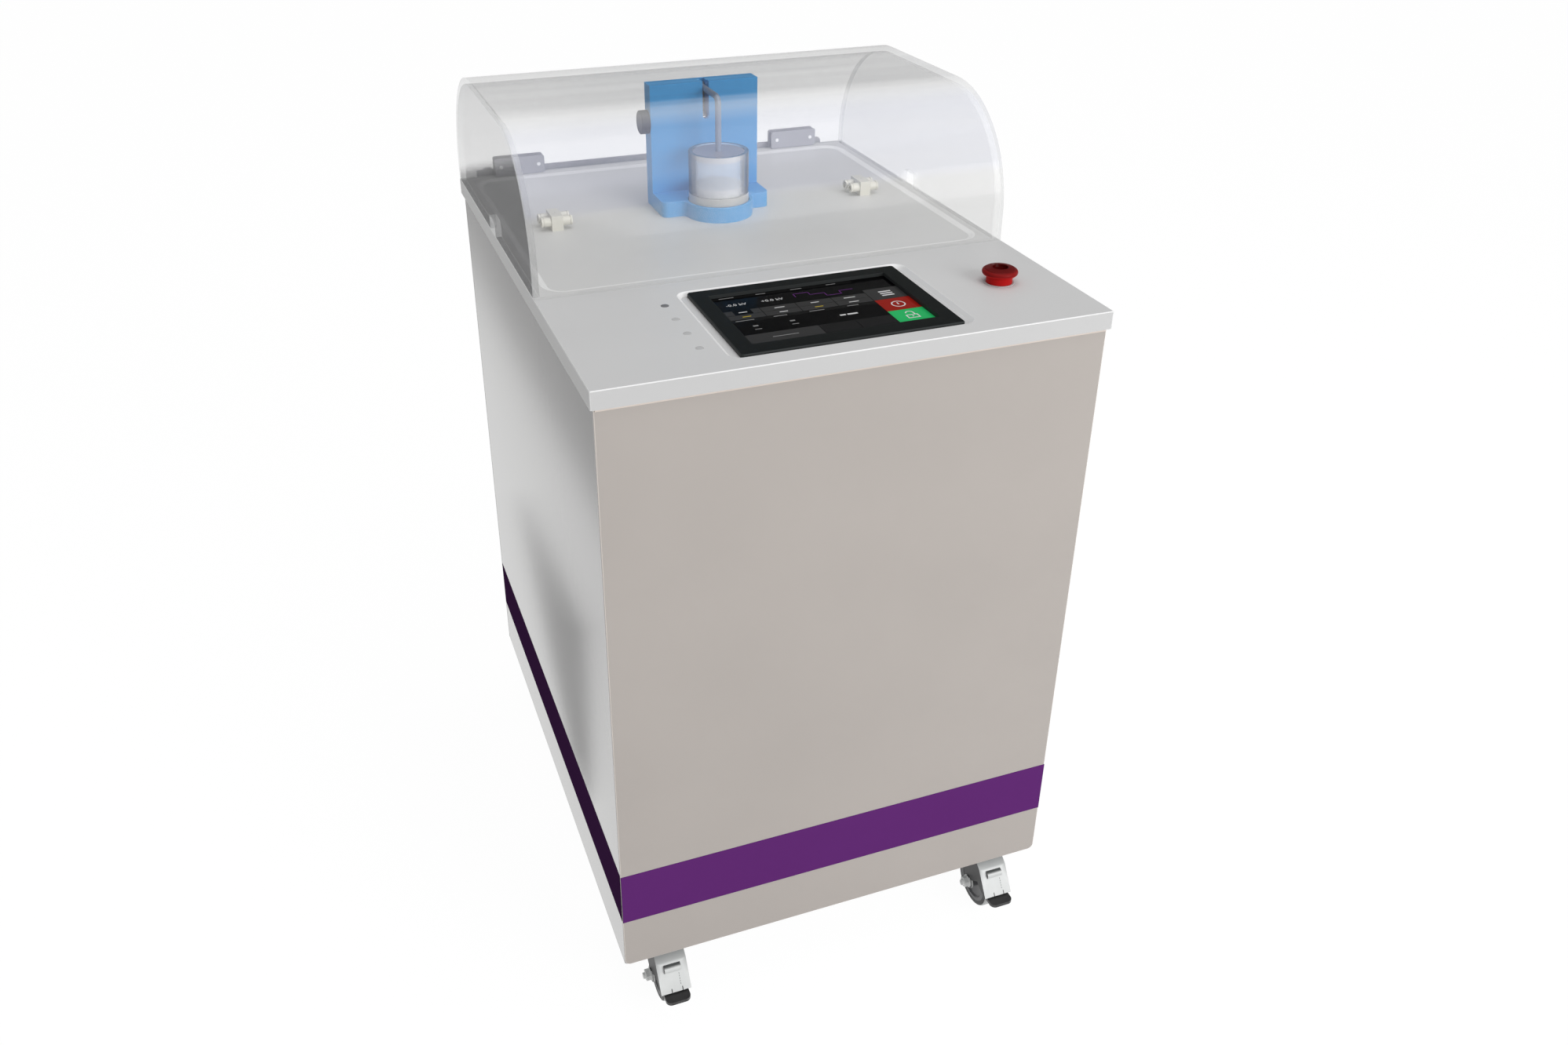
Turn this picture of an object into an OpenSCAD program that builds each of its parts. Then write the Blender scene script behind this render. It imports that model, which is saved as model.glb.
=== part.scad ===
// Floor-standing pulsed-field electroporator: a sheet-metal cabinet on four braked casters,
// with a clear hinged hood over a treatment chamber, a touch panel and a stop button.
// Frame: +X to the right, -Y to the front, +Z up. Origin on the floor under the middle.

/* [Cabinet] */
// Width of the top cover, side to side
cover_w = 600; // [580:1:680]
// Depth of the top cover, front to back
cover_d = 750; // [740:1:820]
// Height of the top cover's edge
cover_t = 21.5; // [18:0.5:26]
// Thickness of the cover plate over its hollow underside
cover_plate_t = 7.5; // [6.5:0.5:10]
// Height of the body between the casters and the top cover
body_h = 791; // [600:1:900]
// How far the panels stand back from the cover's edge
body_inset = 4; // [2:0.5:8]
// Thickness of the sheet-metal panels
sheet_t = 2; // [1.5:0.5:3]
// Corner radius at the foot of the front panel
panel_corner_r = 8; // [4:1:16]
// Seam between neighbouring panels
panel_seam = 0.8; // [0.4:0.1:1.5]
// Outer width of the square frame tubes
tube_w = 25; // [20:1:30]
// Wall of the frame tubes
tube_wall = 2; // [1.5:0.5:3]
// Height of the coloured band above the foot of the body
stripe_rise = 75.7; // [40:0.1:150]
// Width of the coloured band
stripe_h = 77.4; // [40:0.1:120]
// Thickness of the coloured film
stripe_t = 0.3; // [0.2:0.1:0.6]

/* [Work tray] */
// Edge of the tray in from the sides of the cover
tray_side = 17; // [14:1:30]
// Edge of the tray in from the rear of the cover
tray_rear = 20; // [16:1:40]
// Edge of the tray behind the front of the hood
tray_front = 15; // [12:1:30]
// Depth of the tray
tray_depth = 2; // [1:0.5:2.5]
// Width of the tray's sloped side
tray_slope = 8; // [4:1:12]
// Corner radius of the tray
tray_r = 28; // [20:1:40]

/* [Hood] */
// Depth of the hood from front to back
hood_d = 500; // [480:1:540]
// Height of the hood above the cover
hood_h = 175; // [170:1:220]
// Radius of the hood's front curve
hood_front_r = 140; // [100:1:160]
// Radius of the hood's rear curve
hood_back_r = 165; // [120:1:168]
// Thickness of the clear sheet
hood_t = 8; // [6:0.5:9]
// Gap between the hood's ends and the sides of the cover
hood_side_gap = 0.5; // [0.2:0.1:2]
// Width of the tube slot in each end of the hood
tube_slot_w = 36; // [32:1:60]
// Height of the tube slot
tube_slot_h = 20; // [18:1:40]
// Radius of the tube slot's upper corners
tube_slot_r = 6; // [3:1:8]

/* [Hinges] */
// Distance of each hinge from the middle of the hood
hinge_x = 213.75; // [160:0.25:235]
// Width of a hinge plate
hinge_plate_w = 72.5; // [60:0.5:80]
// Height of a hinge plate
hinge_plate_h = 26; // [22:0.5:34]
// Thickness of a hinge plate
hinge_plate_t = 4; // [3:0.5:4]
// Distance between the two screws of a hinge
hinge_screw_pitch = 55; // [46:0.5:60]
// Height of the hinge screws above the cover
hinge_screw_z = 13.5; // [12:0.5:16]
// Height of the hinge axis above the cover
hinge_axis_z = 4; // [4:0.1:6]
// Distance of the hinge axis behind the outer plate
hinge_axis_back = 3.8; // [3.8:0.1:5]
// Radius of the hinge knuckles
knuckle_r = 3.5; // [3:0.1:3.5]
// Radius of the hinge pins
hinge_pin_r = 2; // [1.5:0.1:2]
// Width of the knuckle on the hood
knuckle_w = 40; // [30:1:50]
// Width of each knuckle on the rail
rail_knuckle_w = 10; // [6:1:14]
// Left end of the hinge rail
rail_left = -274; // [-285:1:-268]
// Right end of the hinge rail
rail_right = 267; // [262:1:285]
// Thickness of the hinge rail
rail_t = 5; // [4:0.5:5]
// Height of the rail's top edge above the cover
rail_top = 6.2; // [5:0.1:6.2]

/* [Touch panel] */
// Distance of the panel's middle behind the front of the cover
touch_back = 122; // [112:1:130]
// How deep the panel's recess is
touch_recess_depth = 4; // [3:0.5:5]
// Corner radius of the recess
touch_recess_r = 15; // [10:1:20]
// Width of the recess's sloped side
touch_slope = 4.5; // [3:0.5:8]
// Gap between the bezel and the slope in front of it and behind it
bezel_gap = 0.5; // [0.3:0.1:3]
// Gap between the bezel and the slope at each side
bezel_side_gap = 9; // [3:0.5:16]
// Width of the black bezel
bezel_w = 261; // [250:1:270]
// Depth of the black bezel
bezel_d = 185; // [175:1:190]
// Corner radius of the bezel
bezel_r = 4; // [2:1:8]
// How far the bezel stands above the cover
bezel_proud = 0.4; // [0:0.1:1]
// Width of the window in the bezel
screen_w = 220.5; // [200:0.5:230]
// Depth of the window in the bezel
screen_d = 143.3; // [125:0.1:148]
// How far the window sits behind the bezel's middle
screen_back = 2.2; // [0:0.1:6]
// Thickness of the display glass
screen_t = 2.2; // [1.5:0.1:2.5]
// Depth of the electronics housing below the bezel
touch_housing_h = 36; // [25:1:60]

/* [Controls] */
// Distance of the stop button in from the cover's right side
estop_in = 76; // [60:1:90]
// Radius of the stop button's head
estop_head_r = 21; // [18:0.5:22]
// Radius of the stop button's neck
estop_neck_r = 15.4; // [13:0.1:16]
// Underside of the head above the cover
estop_under = 10; // [8:0.5:14]
// Top of the head above the cover
estop_top = 19; // [17:0.5:24]
// Travel of the stop button
estop_travel = 4; // [3:0.5:6]
// Radius of an indicator light
light_r = 4.75; // [3:0.25:6]
// Distance of the indicator lights left of the middle
light_x = 165; // [158:1:200]
// Distance between indicator lights
light_pitch = 41; // [20:1:45]
// Number of indicator lights
light_n = 4; // [2:1:4]
// Distance of the rearmost light behind the front of the cover
light_back = 186; // [180:1:200]

/* [Chamber stand] */
// Place of the chamber to the right of the middle
chamber_x = 2; // [-10:0.5:10]
// Place of the chamber behind the middle
chamber_y = 105.5; // [95:0.5:108]
// Width of the stand
stand_w = 150; // [130:1:180]
// Height of the stand above the cover
stand_h = 162; // [158:1:165]
// Rear face of the stand behind the middle
stand_back_y = 180; // [176:1:200]
// Thickness of the rear plate
stand_rear_t = 12; // [11.5:0.5:16]
// Thickness of the middle plate
stand_mid_t = 4; // [3:0.5:5]
// Thickness of the front plate
stand_front_t = 9; // [8:0.5:12]
// Front edge of the base behind the middle
base_front_y = 108; // [104:1:112]
// Height of the base above the cover
base_h = 18.5; // [16:0.5:24]
// Corner radius of the base
base_r = 9; // [5:1:14]
// Radius of the round boss under the chamber
boss_r = 45.1; // [43:0.1:50]
// Radius of the fillets beside the boss
boss_fillet = 8; // [4:1:12]
// Width of the slot for the electrode rod
slot_w = 8.8; // [8.5:0.1:10]
// Foot of the slot above the cover
slot_foot = 112.6; // [112:0.1:116]

/* [Chamber] */
// Outer radius of the glass cylinder and the lower electrode
glass_r = 40; // [36:0.5:42]
// Wall of the glass cylinder
glass_wall = 5.5; // [4:0.5:8]
// Foot of the glass above the cover
glass_foot = 28.6; // [26:0.1:32]
// Top of the glass above the cover
glass_top = 83.4; // [80:0.1:88]
// Clearance round each electrode inside the glass
electrode_gap = 0.3; // [0.2:0.05:0.6]
// Top of the lower electrode inside the glass, above the cover
lower_face = 38; // [34:0.5:44]
// Underside of the upper electrode above the cover
upper_face = 74; // [74:0.5:76]
// Thickness of the upper electrode
upper_t = 8; // [5:0.5:8]
// Depth of the seat for the lower electrode in the base
seat_depth = 8.5; // [6:0.5:12]
// Radius of the electrode rod
rod_r = 4; // [3:0.1:4.1]
// Height of the rod's level arm above the cover
rod_arm_z = 152; // [152:0.5:154]
// Radius of the rod's bend
rod_bend_r = 9; // [6:0.5:12]

/* [Electrode lift] */
// Tooth module of the rack and pinion
gear_m = 1; // [0.9:0.05:1.05]
// Teeth on the pinion
gear_n = 12; // [10:1:12]
// Height of the pinion axis above the cover
pinion_z = 112.5; // [110:0.5:113]
// Width of the pinion and the rack
gear_w = 6.8; // [5:0.2:7.4]
// Radius of the pinion shaft
shaft_r = 3; // [2.5:0.1:3.4]
// Radius of the lift knob
knob_r = 15.5; // [12:0.5:20]
// Length of the lift knob
knob_l = 12; // [8:0.5:16]
// Foot of the rack above the cover
rack_foot = 90; // [86:0.5:94]
// Top of the rack above the cover
rack_top = 157; // [156.5:0.5:158]
// Downward travel of the upper electrode
lift_down = 28; // [15:1:28]

/* [Tube fittings] */
// Distance of each fitting in from the cover's side
fitting_in = 82; // [70:1:150]
// Middle of each fitting behind the middle of the cover
fitting_y = 122.5; // [118:0.5:127]
// Width of a fitting block
fitting_w = 15; // [12:0.5:20]
// Depth of a fitting block, front to back
fitting_d = 33; // [31:0.5:40]
// Height of a fitting block above the cover
fitting_h = 18; // [16.5:0.5:24]
// Distance between the two tube lines
port_pitch = 18; // [15:0.5:18]
// Height of the tube lines above the cover
port_z = 9; // [8.5:0.5:10]
// Radius of a tube port's barrel
port_r = 6.2; // [5.6:0.1:6.8]
// Length of a tube port's barrel
port_l = 13; // [10:0.5:18]
// Radius of the bore that takes the tube
port_bore_r = 4.1; // [3:0.05:4.3]
// Depth of that bore
port_bore_l = 16; // [13:0.5:18]

/* [Casters] */
// Height of a caster from the floor to its plate
caster_h = 100; // [98:1:110]
// Distance of the casters left and right of the middle
caster_x = 235.5; // [200:0.5:255]
// Distance of the swivel axes front and rear of the middle
caster_y = 313; // [300:1:325]
// Radius of the wheels
wheel_r = 37.5; // [35:0.5:38]
// Width of the wheels
wheel_w = 28; // [24:1:30]
// Radius of the hub inside the tyre
hub_r = 31; // [27:0.5:32]
// Distance of the wheel's axle from the swivel axis
caster_trail = 30; // [28:0.5:31]
// Width of the caster housing
fork_w = 40.5; // [40:0.5:44]
// Thickness of the housing's sheet
fork_t = 2.3; // [2:0.1:3]
// Radius of the axle bolt
axle_r = 4; // [3:0.25:4.5]
// Radius of the swivel pin
swivel_r = 5; // [4:0.25:6]
// Width of the brake pedal
pedal_w = 33; // [26:1:34]
// How far the pedal reaches past its pin
pedal_reach = 22; // [18:1:26]
// Thickness of the pedal
pedal_t = 4.5; // [3:0.5:5]

/* [Cabinet contents] */
// Width, depth and height of the pulse generator
pulse_size = [300, 250, 300]; // [240:1:340]
// Width, depth and height of the power supply
supply_size = [200, 300, 120]; // [80:1:300]
// Radius of a storage capacitor
capacitor_r = 38; // [25:1:42]
// Height of a storage capacitor
capacitor_h = 180; // [100:1:260]
// Width of the square cooling fan
fan_w = 120; // [92:1:140]
// Depth of the cooling fan
fan_d = 25; // [20:1:38]
// Height of the fan above the foot of the body
fan_rise = 560; // [400:1:640]
// Distance of the mains inlet right of the middle
inlet_x = 200; // [150:1:230]
// Height of the mains inlet above the foot of the body
inlet_rise = 120; // [60:1:200]
// Radius of the earth stud
earth_r = 3; // [2.5:0.5:5]
// Free length of the earth stud
earth_l = 12; // [8:1:14]

/* [Hidden] */
$fn = 96;
// Running clearance round pins and shafts
run = 0.05;
// Clearance of parts that are set into another
fit = 0.1;
// Gap between faces that pass each other
pass = 0.3;
// Overshoot of a cutter past the face that it cuts
cut = 1;
// How far a fillet bites into its neighbours, so that no two curves meet in a single point
bite = 0.02;

body_z = caster_h;
cover_z = body_z + body_h;
top = cover_z + cover_t;
body_w = cover_w - 2 * body_inset;
body_d = cover_d - 2 * body_inset;
room_w = body_w - 2 * sheet_t;
room_d = body_d - 2 * sheet_t;
room_z = body_z + sheet_t;
weld_seam = 0.05;
cover_skirt = body_inset + sheet_t + tube_w;
cover_edge = 0.8;
cover_corner_r = 1.6;
skirt_r = 6;
drain_r = 10;
drain_x = 0.3 * room_w;
drain_y = 0.1 * room_d;

hood_w = cover_w - 2 * hood_side_gap;
fitting_x = cover_w / 2 - fitting_in;
hood_back = cover_d / 2;
hood_front = hood_back - hood_d;
tray_y0 = hood_front + tray_front;
tray_y1 = cover_d / 2 - tray_rear;
tray_floor = top - tray_depth;

touch_y = touch_back - cover_d / 2;
touch_floor = top - touch_recess_depth;
touch_recess_w = bezel_w + 2 * (bezel_side_gap + touch_slope);
touch_recess_d = bezel_d + 2 * (bezel_gap + touch_slope);
bezel_top = top + bezel_proud;
bezel_h = bezel_top - touch_floor;
housing_w = screen_w + 14;
housing_d = screen_d + 14;
housing_y = touch_y + screen_back;
housing_r = 3;
bezel_chamfer = 1;
screen_r = 1;
light_dome = 0.4;

estop_x = cover_w / 2 - estop_in;
barrel_wall = 1.5;
barrel_in_r = estop_neck_r + pass;
barrel_out_r = barrel_in_r + barrel_wall;
barrel_lip = 1;
barrel_lip_h = 0.8;
barrel_l = cover_plate_t + 16;
barrel_nut_t = 5;
barrel_nut_wall = 5;
contact_h = 24;
stem_r = 5;
stem_tip = 4;
stem_tail = 3;
stem_flange_z = -10;
stem_flange_t = 3;
head_rim_r = 3.4;
head_dish_r = 9;
head_dish_depth = 3.4;
light_y = light_back - cover_d / 2;

stand_mid_y = stand_back_y - stand_rear_t;
stand_front_plate_y = stand_mid_y - stand_mid_t;
stand_face_y = stand_front_plate_y - stand_front_t;
seat_z = top + base_h - seat_depth;
glass_in_r = glass_r - glass_wall;
electrode_r = glass_in_r - electrode_gap;
seat_gap = 1;
stud_r = 5;
slot_mouth_r = 7;
stud_drop = 40;
stud_end = top - stud_drop;

pitch_r = gear_m * gear_n / 2;
pressure_angle = 25;
addendum = 0.8 * gear_m;
dedendum = 1.05 * gear_m;
backlash = 0.14;
pinion_y = (stand_face_y + stand_back_y) / 2;
rack_line_y = pinion_y + pitch_r;
rack_back_y = stand_back_y - 2;
rack_head_h = 2 * rod_r + 3;
rack_spare = 3;
tooth_over = 0.2;
knob_chamfer = 1;
knob_end_t = 2;
shaft_end = 10;

port_groove = 1.2;
port_lip = 0.3;
port_shoulder = 1.5;
dimple_r = 1;
dimple_h = 5;

plate_gap = 0.2;
hinge_y = hood_back + plate_gap + hinge_plate_t + hinge_axis_back;
hinge_z = top + hinge_axis_z;
rail_y = hinge_y - rail_t / 2;
rail_foot = -18;
rail_pad_h = 13;
rail_tab_w = 11;
rail_tab_h = 2.6;
rail_end_r = 5;
knuckle_room = 1.3;
pin_out = 1;
screw_sunk = 0.5;
screw_head_t = 1;
plate_corner_r = 3;
clamp_rise = max(0, hinge_plate_h - hood_h + hood_back_r);
clamp_y = hood_back - hood_back_r
    + sqrt(pow(hood_back_r - hood_t, 2) - pow(clamp_rise, 2)) - run;
screw_head_r = 2.6;
screw_shank_r = 1.8;
hinge_lift = 0.5;

inlet_w = 28;
inlet_h = 49;
inlet_z = body_z + inlet_rise;
inlet_body_d = 32;
inlet_flange = 3;
inlet_lip = 2.4;
socket_w = 24;
socket_h = 16.5;
socket_d = 17;
socket_up = 11;
switch_w = 20;
switch_h = 14;
switch_down = 12.5;
switch_tilt = 7;
well_w = switch_w + 2 * pass;
well_h = switch_h + 2 * pass;
well_d = 12;
rocker_sunk = 6;
rocker_play = 0.8;
rocker_pin_r = 1;
axle_in = 1;
prong_pitch = 7;
prong_l = 10;
fan_z = body_z + fan_rise;
fan_y = room_d / 2 - fan_d;
rotor_r = fan_w / 2 - 5;
fan_hub_r = fan_w / 6;
slot_n = 11;
slot_pitch = fan_w / (slot_n + 1);
slot_half_w = 0.42 * fan_w;
slot_half_h = fan_w / 60;
strut_w = 4;
strut_t = 3;
fan_pin_r = 2;
blade_n = 7;
blade_t = 2;
blade_l = 15;
blade_z = 7;
blade_pitch = 35;

pulse_y = 80;
pulse_top = room_z + pulse_size[2];
supply_gap = 10;
supply_x = -room_w / 2 + tube_w + supply_gap;
supply_y = -room_d / 2 + tube_w + supply_gap;
board_w = 160;
board_d = 220;
board_t = 1.6;
board_rise = 10;
board_edge = 8;
standoff_r = 3;
chip_w = 40;
chip_h = 6;
capacitor_x = 60;
capacitor_y = -290;
capacitor_pitch = 96;
terminal_r = 6;
terminal_h = 14;
sleeve_r = 11;
sleeve_foot_h = 20;
sleeve_foot_r = 20;
sleeve_flange_h = 6;
sleeve_flange_r = 17;

axle_z = wheel_r;
fork_top = caster_h - 9.5;
fork_in = fork_w / 2 - fork_t;
plate_w = 66;
plate_t = 3;
cup_r = 21;
swivel_back = 20;
skirt_drop = 14;
rivet_r = 8;
rivet_t = 2.4;
plate_r = 6;
lip_reach = 48;
lip_rise = 49;
lip_y = -caster_trail - lip_reach;
lip_z = lip_rise;
shoulder_y = lip_y + 36;
knee_y = lip_y + 23;
knee_z = fork_top - 8.5;
hub_rim_r = 26;
hub_disc_r = 24;
hub_eye_r = 9;
hub_eye_foot_r = 9.5;
rim_sunk = 0.5;
disc_sunk = 3;
eye_sunk = 5;
tread_edge = 1;
tread_crown = 3.5;
flank = 3;
washer_r = 9;
pedal_pin_r = 1.5;
pedal_eye_r = 3;
pedal_tip_d = 16;
pedal_tip_r = 7.5;
pedal_pin_y = lip_y + 8.4;
pedal_pin_z = lip_z + 1.5;
boss_axle_r = 11;
washer_t = 1.4;
nut_t = 6.4;
nut_r = 7.6;
thread_out = 3.2;

// Flat rectangle with round corners, centred
module round_rect(w, d, r) {
    square([w - 2 * r, d], center = true);
    square([w, d - 2 * r], center = true);
    for (sx = [-1, 1], sy = [-1, 1])
        translate([sx * (w / 2 - r), sy * (d / 2 - r)])
            circle(r);
}

// Round-cornered block standing on z = 0
module round_block(w, d, h, r) {
    linear_extrude(h)
        round_rect(w, d, r);
}

// Block with four sloped sides: w by d with corners r at the foot, drawn in by inset at the top
module sloped_block(w, d, h, r, inset) {
    for (turn = [0, 1]) {
        a = turn == 0 ? w : d;
        b = turn == 0 ? d : w;
        rotate(turn * 90)
            translate([0, b / 2 - r, 0])
                rotate([90, 0, 0])
                    linear_extrude(b - 2 * r)
                        polygon([[-a / 2, 0], [a / 2, 0], [a / 2 - inset, h], [-a / 2 + inset, h]]);
    }
    for (sx = [-1, 1], sy = [-1, 1])
        translate([sx * (w / 2 - r), sy * (d / 2 - r), 0])
            cylinder(h = h, r1 = r, r2 = r - inset);
}

// Cylinder along X from x0 to x1
module bar_x(x0, x1, y, z, r) {
    translate([x0, y, z])
        rotate([0, 90, 0])
            cylinder(h = x1 - x0, r = r);
}

// Box between two corners
module box(a, b) {
    translate(a)
        cube(b - a);
}

// Outline extruded along X: the outline's first axis becomes Y and its second becomes Z
module along_x(x0, x1) {
    translate([x0, 0, 0])
        rotate([90, 0, 90])
            linear_extrude(x1 - x0)
                children();
}

module top_cover() {
    color("#c8c8c8")
        difference() {
            union() {
                translate([0, 0, cover_z])
                    round_block(cover_w, cover_d, cover_t - cover_edge, cover_corner_r);
                translate([0, 0, top - cover_edge])
                    sloped_block(cover_w, cover_d, cover_edge, cover_corner_r, cover_edge);
            }
            translate([0, 0, cover_z - cut])
                round_block(cover_w - 2 * cover_skirt, cover_d - 2 * cover_skirt,
                            cover_t - cover_plate_t + cut, skirt_r);
            translate([0, (tray_y0 + tray_y1) / 2, top])
                mirror([0, 0, 1])
                    sloped_block(cover_w - 2 * tray_side, tray_y1 - tray_y0, tray_depth, tray_r,
                                 tray_slope);
            translate([0, touch_y, top])
                mirror([0, 0, 1])
                    sloped_block(touch_recess_w, touch_recess_d, touch_recess_depth,
                                 touch_recess_r, touch_slope);
            translate([0, housing_y, cover_z])
                round_block(housing_w + 2 * fit, housing_d + 2 * fit, cover_t + cut, housing_r);
            translate([estop_x, touch_y, cover_z])
                cylinder(h = cover_t + cut, r = barrel_out_r + fit);
            for (i = [0 : light_n - 1])
                translate([-light_x, light_y - i * light_pitch, cover_z])
                    cylinder(h = cover_t + cut, r = light_r + run);
            translate([chamber_x, chamber_y, cover_z])
                cylinder(h = cover_t + cut, r = sleeve_r + fit);
        }
}

module front_panel() {
    r = panel_corner_r;
    color("#b7b1ab")
        translate([0, -room_d / 2, body_z])
            rotate([90, 0, 0])
                linear_extrude(sheet_t) {
                    translate([-body_w / 2, r])
                        square([body_w, body_h - r]);
                    translate([-body_w / 2 + r, 0])
                        square([body_w - 2 * r, 2 * r]);
                    for (s = [-1, 1])
                        translate([s * (body_w / 2 - r), r])
                            circle(r);
                }
}

module side_panel() {
    box([room_w / 2, -room_d / 2 + panel_seam, body_z],
        [body_w / 2, room_d / 2 - panel_seam, cover_z]);
}

module left_panel() {
    color("#b4b3b1")
        mirror([1, 0, 0])
            side_panel();
}

module right_panel() {
    color("#b4b3b1")
        side_panel();
}

module rear_panel() {
    color("#b4b3b1") {
        difference() {
            box([-body_w / 2, room_d / 2, body_z], [body_w / 2, body_d / 2, cover_z]);
            for (i = [0 : slot_n - 1])
                translate([0, room_d / 2, fan_z + (i - (slot_n - 1) / 2) * slot_pitch])
                    box([-slot_half_w, -cut, -slot_half_h],
                        [slot_half_w, sheet_t + cut, slot_half_h]);
            box([inlet_x - inlet_w / 2 - fit, room_d / 2 - cut, inlet_z - inlet_h / 2 - fit],
                [inlet_x + inlet_w / 2 + fit, body_d / 2 + cut, inlet_z + inlet_h / 2 + fit]);
        }
        translate([-inlet_x, body_d / 2, inlet_z])
            rotate([-90, 0, 0])
                cylinder(h = earth_l, r = earth_r);
    }
}

module bottom_panel() {
    color("#9a9a9a")
        difference() {
            box([-room_w / 2, -room_d / 2, body_z], [room_w / 2, room_d / 2, room_z]);
            for (sx = [-1, 1], sy = [-1, 1])
                translate([sx * drain_x, sy * drain_y, body_z - cut])
                    cylinder(h = sheet_t + 2 * cut, r = drain_r);
        }
}

module stripe_band() {
    z0 = body_z + stripe_rise;
    z1 = z0 + stripe_h;
    color("#632c73") {
        box([-body_w / 2, -body_d / 2 - stripe_t, z0], [body_w / 2, -body_d / 2, z1]);
        for (s = [0, 1])
            mirror([s, 0, 0])
                box([body_w / 2, -room_d / 2 + panel_seam, z0],
                    [body_w / 2 + stripe_t, room_d / 2 - panel_seam, z1]);
    }
}

// Square tube along Z, its outer corner at the origin
module tube(l) {
    linear_extrude(l)
        difference() {
            square(tube_w);
            translate([tube_wall, tube_wall])
                square(tube_w - 2 * tube_wall);
        }
}

// Twelve tubes, each its own solid, with a weld seam between neighbours
module frame() {
    post_z = room_z + tube_w + weld_seam;
    color("#6f7275") {
        for (sx = [0, 1], sy = [0, 1])
            mirror([sx, 0, 0])
                mirror([0, sy, 0])
                    translate([room_w / 2 - tube_w, room_d / 2 - tube_w, post_z])
                        tube(cover_z - tube_w - weld_seam - post_z);
        for (z = [room_z, cover_z - tube_w]) {
            for (sy = [0, 1])
                mirror([0, sy, 0])
                    translate([-room_w / 2, room_d / 2, z])
                        rotate([90, 0, 90])
                            mirror([1, 0, 0])
                                tube(room_w);
            for (sx = [0, 1])
                mirror([sx, 0, 0])
                    translate([room_w / 2, -room_d / 2 + tube_w + weld_seam, z])
                        rotate([-90, -90, 0])
                            mirror([0, 1, 0])
                                tube(room_d - 2 * (tube_w + weld_seam));
        }
    }
}

module touch_bezel() {
    color("#1b1e1d")
        difference() {
            translate([0, touch_y, touch_floor])
                union() {
                    round_block(bezel_w, bezel_d, bezel_h - bezel_chamfer, bezel_r);
                    translate([0, 0, bezel_h - bezel_chamfer])
                        sloped_block(bezel_w, bezel_d, bezel_chamfer, bezel_r, bezel_chamfer);
                }
            translate([0, touch_y + screen_back, touch_floor - cut])
                round_block(screen_w, screen_d, bezel_h + 2 * cut, screen_r);
        }
}

module touch_screen() {
    color("#0c0c0e")
        translate([0, housing_y, touch_floor - screen_t])
            round_block(housing_w, housing_d, screen_t, housing_r);
}

module touch_housing() {
    color("#8d9092")
        translate([0, housing_y, touch_floor - touch_housing_h])
            round_block(housing_w, housing_d, touch_housing_h - screen_t, housing_r);
}

module status_lights() {
    color("#8f8f8f")
        for (i = [0 : light_n - 1])
            translate([-light_x, light_y - i * light_pitch, top])
                rotate_extrude()
                    polygon([[0, -cover_plate_t], [light_r, -cover_plate_t], [light_r, 0],
                             [light_r - light_dome, light_dome / 2], [0, light_dome]]);
}

module estop_barrel() {
    translate([estop_x, touch_y, top])
        color("#2a2a2a") {
            rotate_extrude()
                polygon([[barrel_in_r, barrel_lip_h], [barrel_out_r + barrel_lip / 2, barrel_lip_h],
                         [barrel_out_r + barrel_lip, 0], [barrel_out_r, 0],
                         [barrel_out_r, -barrel_l], [barrel_in_r, -barrel_l]]);
            difference() {
                translate([0, 0, -cover_plate_t - barrel_nut_t])
                    cylinder(h = barrel_nut_t, r = barrel_out_r + barrel_nut_wall);
                translate([0, 0, -cover_plate_t - barrel_nut_t - cut])
                    cylinder(h = barrel_nut_t + 2 * cut, r = barrel_out_r);
            }
            translate([0, 0, -barrel_l - contact_h])
                difference() {
                    translate([-barrel_out_r, -barrel_out_r, 0])
                        cube([2 * barrel_out_r, 2 * barrel_out_r, contact_h]);
                    translate([0, 0, contact_h - estop_travel - stem_tail - cut])
                        cylinder(h = estop_travel + stem_tail + 2 * cut, r = stem_r + pass);
                }
        }
}

module estop_stem() {
    color("#3a3a3a")
        translate([estop_x, touch_y, top]) {
            translate([0, 0, -barrel_l - stem_tail])
                cylinder(h = barrel_l + stem_tail + stem_tip, r = stem_r);
            translate([0, 0, stem_flange_z])
                cylinder(h = stem_flange_t, r = barrel_in_r - pass);
        }
}

module estop_head() {
    rim_x = estop_head_r - head_rim_r;
    rim_drop = 1.5;
    color("#a01a1a")
        translate([estop_x, touch_y, top])
            rotate_extrude()
                difference() {
                    union() {
                        polygon([[0, -estop_travel], [estop_neck_r, -estop_travel],
                                 [estop_neck_r, estop_under], [rim_x, estop_under],
                                 [rim_x, estop_top - rim_drop], [head_dish_r + cut, estop_top],
                                 [0, estop_top]]);
                        translate([rim_x, estop_under + head_rim_r])
                            circle(head_rim_r);
                    }
                    polygon([[-cut, -estop_travel - cut], [stem_r + run, -estop_travel - cut],
                             [stem_r + run, stem_tip], [-cut, stem_tip]]);
                    polygon([[-cut, estop_top - head_dish_depth],
                             [head_dish_r - cut, estop_top - head_dish_depth],
                             [head_dish_r + cut / 2, estop_top + cut], [-cut, estop_top + cut]]);
                }
}

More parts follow.
